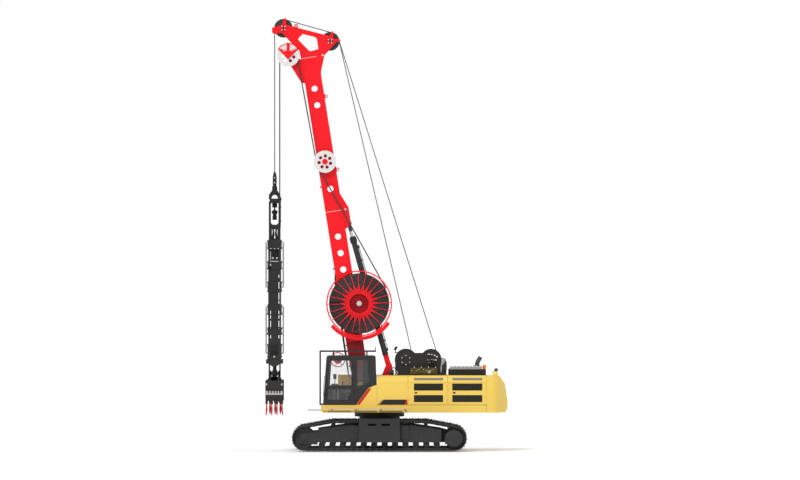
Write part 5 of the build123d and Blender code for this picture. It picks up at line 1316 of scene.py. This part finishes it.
def add_winch_plates(covers, bright, side, bolt):
    """Hub covers and bolts on one side plate."""
    out = ACROSS * side
    hubs = [Vector((drum.x, side * WINCH_FACE, drum.z)) for drum in DRUMS]
    for hub in hubs:
        add_turned(covers, hub, out, HUB_RING, 40)
    add_bolt_ring(bright, hubs[0] + out * 0.03, out, 0.16, 6, bolt * 0.8, math.radians(15))
    add_bolt_ring(covers, hubs[1] + out * 0.03, out, 0.165, 10, bolt * 0.7)
    for x in (-0.62, -1.0, -1.4, -1.8, -2.15):
        add_bolt(covers, (SWING_X + x, side * WINCH_FACE, HOUSE_TOP + 0.06), out, bolt)
    for hub, lobe in zip(hubs, (0.36, 0.33)):
        for step in range(5):
            angle = math.radians(35 + step * 27)
            spot = hub + Vector((math.cos(angle), 0, math.sin(angle))) * lobe
            add_bolt(covers, spot, out, bolt * 0.8)


def add_winch_brake(covers, bright):
    """Brake housing, light fittings and hoses on the rear winch's left end."""
    hub = Vector((DRUMS[1].x, WINCH_FACE, DRUMS[1].z))
    add_cap(covers, hub + ACROSS * 0.03, ACROSS, 0.12)
    for x, z, wide, tall in BRAKE_FITTINGS:
        low = hub + Vector((x - wide / 2, -0.001, z - tall / 2))
        add_block(bright, low, low + Vector((wide, 0.075, tall)), 0.008)
        add_cap(bright, low + Vector((wide / 2, 0.075, tall / 2)), ACROSS, min(wide, tall) * 0.35, 10)
    for index in range(5):
        start = hub + Vector((0.12 - index * 0.07, 0.05, 0.12))
        sag = start + Vector((0.05, 0.09, -0.10 - 0.02 * index))
        end = hub + Vector((0.08 - index * 0.05, 0.04, -0.20))
        add_pipe(covers, [start, sag, sag + Vector((-0.02, 0, -0.10)), end], 0.015)


def add_manifold(covers, bright):
    """Valve manifold low between the drums with its unions, hoses, caps and a bright clamp."""
    valves, caps = bmesh.new(), bmesh.new()
    (rear, front), (low, high) = MANIFOLD_X, MANIFOLD_Z
    add_side_block(valves, 1, MANIFOLD_X, (WINCH_FACE - 0.001, WINCH_FACE + 0.10), MANIFOLD_Z, 0.012)
    cover_y, cover_z = (WINCH_FACE + 0.099, WINCH_FACE + 0.13), (low + 0.05, high - 0.09)
    add_side_block(valves, 1, (rear + 0.04, front - 0.06), cover_y, cover_z, 0.01)
    step = (front - rear - 0.14) / 10
    for index in range(11):
        x = SWING_X + rear + 0.07 + index * step
        top = Vector((x, WINCH_FACE + 0.05, high))
        add_turned(bright if index % 3 == 0 else covers, top - UP * 0.002, UP, UNION, 8)
        bend, far = top + Vector((0, 0.03, 0.12)), top + Vector((0.03, -0.055, 0.16))
        add_pipe(covers, [top + UP * 0.05, bend, far], 0.014)
        face = Vector((x, WINCH_FACE + 0.128, low + 0.14 + 0.04 * (index % 2)))
        add_cap(caps if index % 3 else covers, face, ACROSS, 0.016, 10)
    ring = Vector((SWING_X - 1.783, WINCH_FACE + 0.128, low + 0.10))
    add_turned(bright, ring, ACROSS, collar(0.028, 0.05, 0.02), 20)
    add_piece("winch_valves", valves, "valve_olive", "upper")
    add_piece("winch_test_caps", caps, "house_yellow", "upper")


def add_roof_pipes():
    """Hoses and stand pipes behind the winches, and the pump ahead of them."""
    dark, pale = bmesh.new(), bmesh.new()
    post = Vector((SWING_X - 2.385, 0.50, HOUSE_TOP))
    add_bar(pale, post, post + UP * 0.34, 0.02)
    add_block(pale, post - Vector((0.05, 0.05, 0.002)), post + Vector((0.05, 0.05, 0.014)), 0.004)
    for index in range(6):
        x = SWING_X - 2.20 - index * 0.032
        route = [(SWING_X - 2.17, 0.465, 3.05 + 0.05 * index), (x - 0.03, 0.53, 3.12 + 0.05 * index)]
        route += [(x - 0.05, 0.54, 2.95), (x - 0.02, 0.46 + 0.02 * index, HOUSE_TOP)]
        add_pipe(dark, route, 0.018)
    pump = Vector((SWING_X - 0.52, 0.68, HOUSE_TOP + 0.115))
    add_turned(dark, pump, AHEAD, PUMP, 24)
    add_block(dark, pump + Vector((0.01, -0.09, -0.115)), pump + Vector((0.14, 0.09, -0.085)), 0.006)
    add_block(dark, pump + Vector((0.04, -0.035, -0.09)), pump + Vector((0.10, 0.035, -0.07)), 0.004)
    add_pipe(dark, [pump + Vector(step) for step in PUMP_HOSE], 0.018)
    clamp = pump + Vector((-0.09, 0.02, -0.02))
    add_turned(pale, clamp, ACROSS, collar(0.03, 0.06, 0.025), 20)
    add_bar(pale, clamp - UP * 0.095, clamp - UP * 0.05, 0.02, 10)
    add_piece("roof_hoses", dark, "scuffed_rubber", "upper")
    add_piece("roof_pipes", pale, "fitting_grey", "upper")


class CARRIER_OT_winches(bpy.types.Operator):
    """Rope wraps, hub covers, bolts, valves and pipes of the winches"""

    bl_idname = "carrier.winches"
    bl_label = "Winches"

    def execute(self, context):
        sizes = context.scene.carrier_sizes
        for drum, name in zip(DRUMS, ("front", "rear")):
            bm = bmesh.new()
            for index in range(DRUM_WRAPS):
                y = (index - (DRUM_WRAPS - 1) / 2) * sizes.rope * 1.06
                seat = drum + Vector((DRUM_RADIUS + sizes.rope / 2, y, 0))
                wrap_tube(bm, start_tube(bm, seat, UP, sizes.rope / 2, 8), drum, -2 * math.pi, 36)
            write_lay(bm)
            add_piece(f"drum_wraps_{name}", bm, "rope_lay", f"winch_drum_{name}")
        covers, bright = bmesh.new(), bmesh.new()
        for side in (1, -1):
            add_winch_plates(covers, bright, side, sizes.bolt)
        add_winch_brake(covers, bright)
        add_manifold(covers, bright)
        add_piece("winch_covers", covers, "winch_black", "upper")
        add_piece("winch_bolts", bright, "bolt_zinc", "upper")
        add_roof_pipes()
        return {"FINISHED"}


# Boom

AXLE_PLATE = ((0.0605, 0), (0.105, 0), (0.105, 0.014), (0.097, 0.02), (0.0605, 0.02))
EYE_HEIGHTS = (7.917, 10.578)
GUIDE_HEIGHTS = (4.395, 7.37)
HOLE_RIM = collar(0.1115, 0.128, 0.008)
EYE_RING = (*collar(0.03, 0.062, 0.04), (0.03, 0))
GLAND = (
    (0.1005, 0), (0.124, 0), (0.124, 0.16), (0.104, 0.20),
    (0.096, 0.23), (0.066, 0.23), (0.066, 0.122), (0.1005, 0.122),
)
BARREL_FOOT = ((0.099, 0), (0.116, 0), (0.116, 0.05), (0.099, 0.06))
# A rib in the reel's hub: distance out, place along the axle
HUB_RIB = ((0.088, -0.066), (0.352, -0.066), (0.352, 0.03), (0.088, 0.055))
# Rows of plugs on the reel's star: distance out, radius, first angle in degrees
PLUG_ROWS = ((0.40, 0.018, 9), (0.455, 0.020, 1.5), (0.51, 0.016, 1.5), (0.57, 0.013, 1.5))


def on_boom(fwd, y, up):
    return ON_BOOM @ Vector((fwd, y, up))


def add_boom_plates(bolt, weld):
    """Axle keeper plates, pale highlight lines painted along the splices, the splices' pins, and the
    lightening holes' rims.
    """
    plates, keepers = bmesh.new(), bmesh.new()
    bright, beads, rims = bmesh.new(), bmesh.new(), bmesh.new()
    for side in (1, -1):
        out, face = ACROSS * side, side * BOOM_HALF
        for sheave in (FRONT_SHEAVE, REAR_SHEAVE):
            seat = Vector((sheave.x, face, sheave.z))
            add_turned(keepers, seat, out, AXLE_PLATE, 28)
            add_cap(plates, seat + out * 0.025, out, 0.036)
            add_bolt_ring(bright, seat + out * 0.02, out, 0.081, 4, bolt)
        low, high = sorted((face, face + side * 0.006))
        for up, rear in ((SPLICE_LOW, -0.30), (SPLICE_HIGH, -0.25)):
            # These lines along the splices are pale: painted highlights of the splice joints, as wide as a
            # weld.
            add_block(beads, (rear, low, up - weld), (0.29, high, up + weld * 0.3), 0.002, ON_BOOM)
            add_cap(bright, on_boom(-0.473 if rear > -0.3 else -0.42, face, up), out, 0.045)
        for up in HOLE_HEIGHTS:
            add_turned(rims, on_boom(0, face, up), out, HOLE_RIM, 32)
        for fwd in (-0.297, 0.297):
            add_block(rims, (fwd - 0.009, low, 0.75), (fwd + 0.009, high, 11.2), 0.002, ON_BOOM)
    for up in EYE_HEIGHTS:
        add_turned(rims, on_boom(-0.365, -0.02, up), ACROSS, EYE_RING, 24)
        add_block(rims, (-0.33, -0.03, up - 0.09), (-0.305, 0.03, up + 0.09), 0.006, ON_BOOM)
    for up in GUIDE_HEIGHTS:
        add_block(plates, (0.305, 0.05, up - 0.022), (0.372, 0.25, up + 0.022), 0.006, ON_BOOM)
    add_piece("boom_axle_plates", keepers, "hub_shade_and_plate_red", "boom")
    add_piece("boom_guides", plates, "winch_black", "boom")
    add_piece("boom_bolts", bright, "bolt_zinc", "boom")
    add_piece("boom_splice_highlights", beads, "splice_highlight", "boom")
    add_piece("boom_hole_rims", rims, "boom_red", "boom")


def add_boom_cables():
    """Control hoses clipped up the boom's front face."""
    hoses, clips = bmesh.new(), bmesh.new()
    for y, fwd in ((0.16, 0.36), (0.22, 0.385), (0.27, 0.35)):
        route = [(0.17, 0.25), (0.42, 0.45), (fwd + 0.02, 0.9), (fwd + 0.02, 1.8)]
        route += [(fwd, 2.6), (fwd, 4.0), (fwd - 0.09, 4.25)]
        add_pipe(hoses, [on_boom(f, y, up) for f, up in route], 0.019)
    for up in (0.85, 1.6, 2.6, 3.9):
        add_block(clips, (0.309, 0.12, up - 0.02), (0.345, 0.30, up + 0.02), 0.004, ON_BOOM)
        add_block(clips, (0.40, 0.12, up - 0.02), (0.415, 0.30, up + 0.02), 0.004, ON_BOOM)
        for y in (0.125, 0.295):
            add_block(clips, (0.33, y - 0.008, up - 0.012), (0.41, y + 0.008, up + 0.012), 0.002, ON_BOOM)
    add_piece("boom_hoses", hoses, "scuffed_rubber", "boom")
    add_piece("boom_hose_clips", clips, "winch_black", "boom")


def add_reel_hub():
    """Ribs in the reel's recessed hub, bolts on its star and the nut on its axle."""
    ribs, dots, nut = bmesh.new(), bmesh.new(), bmesh.new()
    for index in range(16):
        turn = Matrix.Translation(REEL) @ Matrix.Rotation(2 * math.pi * index / 16, 4, "Y")
        outline = [turn @ Vector((out, y, -0.009)) for out, y in HUB_RIB]
        add_plate(ribs, outline, turn.to_3x3() @ Vector((0, 0, 0.018)))
    add_turned(ribs, REEL - ACROSS * 0.066, ACROSS, collar(0.30, 0.352, 0.012), 48)
    for radius, width, first in PLUG_ROWS:
        for face in (1, -1):
            out = ACROSS * face
            spoke = out.orthogonal().normalized() * radius
            for index in range(24):
                spot = Matrix.Rotation(math.radians(first + 15 * index) * face, 3, out) @ spoke
                plug = ((0, -0.002), (width, -0.002), (width, 0.002), (0, 0.002))
                add_turned(dots, REEL + out * REEL_HALF + spot, out, plug, 8)
    add_bolt(nut, REEL + ACROSS * 0.07, ACROSS, 0.13, 0.3)
    # The hub's ribs are dark red: painted shade in the reel's recess.
    add_piece("reel_hub_ribs", ribs, "hub_shade_and_plate_red", "hose_reel")
    add_piece("reel_star_plugs", dots, "panel_black", "hose_reel")
    add_piece("reel_axle_nut", nut, "bolt_zinc", "boom")


def add_cylinder_fittings():
    """Glands, feed pipes, clamps and ports of the luffing cylinders."""
    dark, pipes = bmesh.new(), bmesh.new()
    for y in (LUFF_Y, -LUFF_Y):
        add_turned(dark, ON_LUFF @ Vector((0, y, 4.60)), LUFF_AXIS, GLAND, 32)
        add_turned(dark, ON_LUFF @ Vector((0, y, 0.425)), LUFF_AXIS, BARREL_FOOT, 32)
        for up in (0.9, 1.9, 2.9, 3.9):
            add_turned(dark, ON_LUFF @ Vector((0, y, up)), LUFF_AXIS, collar(0.099, 0.108, 0.04), 32)
            add_block(dark, (-0.15, y - 0.03, up), (-0.095, y + 0.03, up + 0.04), 0.004, ON_LUFF)
        for up in (0.58, 4.42):
            add_block(dark, (-0.15, y - 0.045, up - 0.05), (-0.09, y + 0.045, up + 0.05), 0.01, ON_LUFF)
        add_bar(pipes, ON_LUFF @ Vector((-0.132, y, 0.6)), ON_LUFF @ Vector((-0.132, y, 4.42)), 0.016, 12)
    add_piece("luff_glands", dark, "winch_black", "luff_barrels")
    add_piece("luff_pipes", pipes, "machined_steel", "luff_barrels")


class CARRIER_OT_boom(bpy.types.Operator):
    """Axle plates, painted splice highlights, hole rims, front cables, reel hub and cylinder fittings of the
    boom
    """

    bl_idname = "carrier.boom"
    bl_label = "Boom fittings"

    def execute(self, context):
        sizes = context.scene.carrier_sizes
        add_boom_plates(sizes.bolt, sizes.weld)
        add_boom_cables()
        add_reel_hub()
        add_cylinder_fittings()
        return {"FINISHED"}


# Grab

GRAB_PLUG = ((0, 0), (0.032, 0), (0.032, 0.04), (0.02, 0.05), (0, 0.05))


def add_collars(bolt, weld):
    """Bolts on the collars and the beads where they meet the body."""
    heads, beads = bmesh.new(), bmesh.new()
    rim = GRAB_HALF + COLLAR_RISE
    for low, high in COLLARS:
        for z in (low + 0.05, high - 0.05):
            for side in (1, -1):
                for x in (-0.205, 0.205):
                    add_bolt(heads, (GRAB_X + x, side * rim, z), ACROSS * side, bolt * 0.9)
                for y in (-1.0, -0.62, -0.25, 0.25, 0.62, 1.0):
                    seat = (GRAB_X + side * COLLAR_X, y, z)
                    add_bolt(heads, seat, Vector((side, 0, 0)), bolt * 0.9)
        for z in (low, high):
            bottom, top = span(z, weld / 2)
            for side in (1, -1):
                near, far = on_side(side, (GRAB_HALF - 0.001, GRAB_HALF + 0.012))
                rear, front = span(GRAB_X, GRAB_BODY_X)
                add_block(beads, (rear, near, bottom), (front, far, top), 0.004)
                near, far = on_side(side, (GRAB_BODY_X - 0.001, GRAB_BODY_X + 0.012))
                add_block(beads, (GRAB_X + near, -GRAB_HALF, bottom), (GRAB_X + far, GRAB_HALF, top), 0.004)
    add_piece("grab_bolts", heads, "bolt_dark", "grab")
    add_piece("grab_welds", beads, "grab_black", "grab")


def add_end_windows(bolt):
    """Sill, pipes and fittings in the end walls' upper opening, and bright plugs on the walls."""
    pale, dark, bright, panel = bmesh.new(), bmesh.new(), bmesh.new(), bmesh.new()
    rim = GRAB_HALF + COLLAR_RISE
    for side in (1, -1):
        out = ACROSS * side

        def wall_block(bm, x, y, z, edge=0.004):
            near, far = on_side(side, y)
            add_block(bm, (GRAB_X + x[0], near, z[0]), (GRAB_X + x[1], far, z[1]), edge)

        wall_block(pale, (-0.15, 0.15), (rim - 0.02, rim + 0.012), (6.795, 6.83))
        wall_block(pale, (0.118, 0.146), (GRAB_HALF - 0.03, GRAB_HALF + 0.006), (6.855, 7.17))
        wall_block(dark, (-0.12, 0.10), (0.96, 1.077), (6.76, 6.99), 0.01)
        wall_block(panel, (-0.193, 0.193), (1.015, 1.025), (6.72, 7.29), 0)
        wall_block(panel, (-0.128, 0.128), (rim - 0.0125, rim - 0.0115), (3.435, 3.808), 0)
        for x, z in ((-0.10, 6.925), (0.052, 6.93)):
            add_turned(bright, (GRAB_X + x, side * 1.075, z), out, GRAB_PLUG, 12)
        for x in (-0.08, -0.02, 0.06):
            up = ((x, 1.02, 6.98), (x, 1.045, 7.10), (x * 1.3, 1.03, 7.27))
            route = [(GRAB_X + px, side * py, pz) for px, py, pz in up]
            add_pipe(dark, route, 0.018)
        for x in (-0.14, -0.01, 0.12):
            add_bolt(bright, (GRAB_X + x, side * rim, 7.268), out, bolt * 0.8)
        add_bolt(bright, (GRAB_X, side * rim, 3.392), out, bolt * 1.2)
        for x in (-0.08, 0.0, 0.08):
            wall_block(dark, span(x, 0.018), (rim - 0.013, rim - 0.002), (3.62, 3.80))
    add_piece("grab_sills", pale, "fitting_grey", "grab")
    add_piece("grab_pipes", dark, "grab_black", "grab")
    add_piece("grab_panels", panel, "panel_black", "grab")
    add_piece("grab_plugs", bright, "bolt_zinc", "grab")


def add_grab_hoses(diameter):
    """Feed hoses from the hose port down the top frame, and the rope sockets' pins."""
    hoses, pins = bmesh.new(), bmesh.new()
    low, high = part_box("hose_falls")
    x, y = (low.x + high.x) / 2, GRAB_NECK_HALF + diameter * 0.55
    for step in (-0.6, 0.6):
        foot = x + step * diameter
        route = [(foot, y, 9.0), (foot, y, 8.7), (foot, y, 8.2)]
        route += [(foot + 0.02, y + 0.01, 7.85), (foot + 0.05, y, 7.57)]
        add_pipe(hoses, route, diameter * 0.45)
    for index in range(8):
        row = 0.09 * (index - 3.5)
        for off in (-0.075, 0.075):
            bow = off * (0.4 + 0.3 * (index % 3))
            route = [(off, row, 7.57), (bow, row, 7.72)]
            route += [(off * 0.5, row + 0.03, 7.88), (off * 0.9, row, 8.03)]
            add_pipe(hoses, [(GRAB_X + px, py, pz) for px, py, pz in route], diameter * 0.62)
    for z in (8.75, 8.25):
        near, far = (x - 0.055, GRAB_NECK_HALF - 0.002, z - 0.02), (x + 0.055, y + 0.026, z + 0.02)
        add_block(pins, near, far, 0.006)
    add_piece("grab_feed_hoses", hoses, "scuffed_rubber", "grab")
    add_piece("grab_hose_clips", pins, "grab_black", "grab")
    sockets = bmesh.new()
    for row in (ROPE_Y, -ROPE_Y):
        for side in (1, -1):
            for z in (9.64, 9.82):
                add_cap(sockets, (GRAB_X, row + side * 0.0705, z), ACROSS * side, 0.028, 14)
    add_piece("grab_socket_pins", sockets, "bolt_zinc", "grab")


def add_jaw_fittings(bolt):
    """Pivot covers on the neck plates, and pale bands, pads and ribs on the jaws' shells."""
    covers = bmesh.new()
    pivot_y, pivot_z = JAW_PIVOT
    for side, hand in ((1, "left"), (-1, "right")):
        for end in (1, -1):
            axis = Vector((end, 0, 0))
            seat = Vector((GRAB_X + end * 0.212, side * pivot_y, pivot_z))
            add_cap(covers, seat, axis, 0.085)
            add_bolt_ring(covers, seat + axis * 0.02, axis, 0.055, 4, bolt * 0.6)
        strip = bmesh.new()
        hinge = Matrix.Translation((GRAB_X, side * pivot_y, pivot_z))
        turn = hinge @ Matrix.Rotation(side * STRIP_ANGLE, 4, "X")
        near, far = on_side(side, (JAW_RADIUS - 0.004, JAW_RADIUS + 0.008))
        # A pale band across each jaw's shell.
        add_block(strip, (-0.305, near, -0.075), (0.305, far, 0.075), 0.003, turn)
        ribs = bmesh.new()
        near, far = on_side(side, (JAW_RADIUS - 0.012, JAW_RADIUS + 0.018))
        for x in (-0.20, -0.10, 0.0, 0.10, 0.20):
            add_block(ribs, (x - 0.026, near, -0.01), (x + 0.026, far, 0.12), 0.012, turn)
        turn = hinge @ Matrix.Rotation(side * PAD_ANGLE, 4, "X")
        for x in (-0.28, 0.28):
            add_block(strip, (x - 0.03, near, -0.035), (x + 0.03, far, 0.035), 0.006, turn)
        add_piece(f"jaw_ribs_{hand}", ribs, "jaw_black", f"jaw_{hand}")
        add_piece(f"jaw_pale_band_{hand}", strip, "strip_pale", f"jaw_{hand}")
    add_piece("jaw_pivot_covers", covers, "jaw_black", "grab")


class CARRIER_OT_grab(bpy.types.Operator):
    """Bolts, weld beads, pipes, pins and pale jaw bands of the grab"""

    bl_idname = "carrier.grab"
    bl_label = "Grab fittings"

    def execute(self, context):
        sizes = context.scene.carrier_sizes
        add_collars(sizes.bolt, sizes.weld)
        add_end_windows(sizes.bolt)
        add_grab_hoses(sizes.hose)
        add_jaw_fittings(sizes.bolt)
        return {"FINISHED"}


# Stage

WHITE = (1, 1, 1, 1)
FLOOR_REACH = 400
CAMERA_PLACE = (-0.481, 320, 7.578)
CAMERA_LENS = 400


class CARRIER_OT_stage(bpy.types.Operator):
    """Pale floor, soft light and the camera at the photograph's angle"""

    bl_idname = "carrier.stage"
    bl_label = "Stage"

    def execute(self, context):
        scene = context.scene
        scene.view_settings.view_transform = "Standard"
        bm = bmesh.new()
        bmesh.ops.create_grid(bm, x_segments=8, y_segments=8, size=FLOOR_REACH)
        mesh = bpy.data.meshes.new("floor")
        bm.to_mesh(mesh)
        bm.free()
        floor = bpy.data.objects.new("floor", mesh)
        scene.collection.objects.link(floor)
        tree, shader = new_material("floor_pale")
        seen = add_node(tree, "LightPath").outputs["Is Camera Ray"]
        wire(tree, shader, {
            "Base Color": (0.95, 0.95, 0.95, 1), "Roughness": 0.9,
            "Emission Color": WHITE, "Emission Strength": times(tree, seen, 0.12),
        })
        mesh.materials.append(bpy.data.materials["floor_pale"])

        world = scene.world or bpy.data.worlds.new("studio")
        scene.world = world
        world.use_nodes = True
        tree = world.node_tree
        light = wire(tree, tree.nodes["Background"], {"Color": WHITE, "Strength": 0.62})
        seen = add_node(tree, "Background", {"Color": WHITE, "Strength": 1.0})
        path = add_node(tree, "LightPath").outputs
        direct = maths(tree, "MAXIMUM", path["Is Camera Ray"], path["Is Glossy Ray"])
        direct = maths(tree, "MAXIMUM", direct, path["Is Transmission Ray"])
        both = add_node(tree, "MixShader", {0: direct, 1: light.outputs[0], 2: seen.outputs[0]})
        tree.links.new(both.outputs[0], tree.nodes["World Output"].inputs["Surface"])

        def sun(name, energy, direction, angle):
            lamp = bpy.data.lights.new(name, "SUN")
            lamp.energy, lamp.angle = energy, math.radians(angle)
            stand = bpy.data.objects.new(name, lamp)
            stand.rotation_euler = Vector(direction).to_track_quat("-Z", "Y").to_euler()
            scene.collection.objects.link(stand)

        sun("key_light", 1.5, (-0.35, -0.75, -0.75), 25)
        sun("fill_light", 0.45, (0.7, 0.5, -0.5), 60)

        view = bpy.data.cameras.new("photo_view")
        view.lens, view.sensor_width = CAMERA_LENS, 36
        view.clip_start, view.clip_end = 1.0, 900
        camera = bpy.data.objects.new("photo_view", view)
        camera.location = CAMERA_PLACE
        camera.rotation_euler = (math.radians(90), 0, math.radians(180))
        scene.collection.objects.link(camera)
        scene.camera = camera
        return {"FINISHED"}


OPERATORS = (
    CARRIER_OT_finishes,
    CARRIER_OT_ropes,
    CARRIER_OT_hoses,
    CARRIER_OT_tracks,
    CARRIER_OT_house,
    CARRIER_OT_cab,
    CARRIER_OT_winches,
    CARRIER_OT_boom,
    CARRIER_OT_grab,
    CARRIER_OT_stage,
)


class CARRIER_PT_panel(bpy.types.Panel):
    """Lists the carrier's sizes, colours and pieces"""

    bl_idname = "CARRIER_PT_panel"
    bl_label = "Trench grab carrier"
    bl_space_type = "VIEW_3D"
    bl_region_type = "UI"
    bl_category = "Carrier"

    def draw(self, context):
        for group in (context.scene.carrier_sizes, context.scene.carrier_colours):
            for name in group.__annotations__:
                self.layout.prop(group, name)
        for operator in OPERATORS:
            self.layout.operator(operator.bl_idname)


CLASSES = (CarrierSizes, CarrierColours, *OPERATORS, CARRIER_PT_panel)


def register():
    for cls in CLASSES:
        bpy.utils.register_class(cls)
    bpy.types.Scene.carrier_sizes = bpy.props.PointerProperty(type=CarrierSizes)
    bpy.types.Scene.carrier_colours = bpy.props.PointerProperty(type=CarrierColours)


def unregister():
    del bpy.types.Scene.carrier_colours
    del bpy.types.Scene.carrier_sizes
    for cls in reversed(CLASSES):
        bpy.utils.unregister_class(cls)


def main():
    """Builds every piece in order."""
    register()
    for operator in OPERATORS:
        space, name = operator.bl_idname.split(".")
        getattr(getattr(bpy.ops, space), name)()


if __name__ == "__main__":
    main()
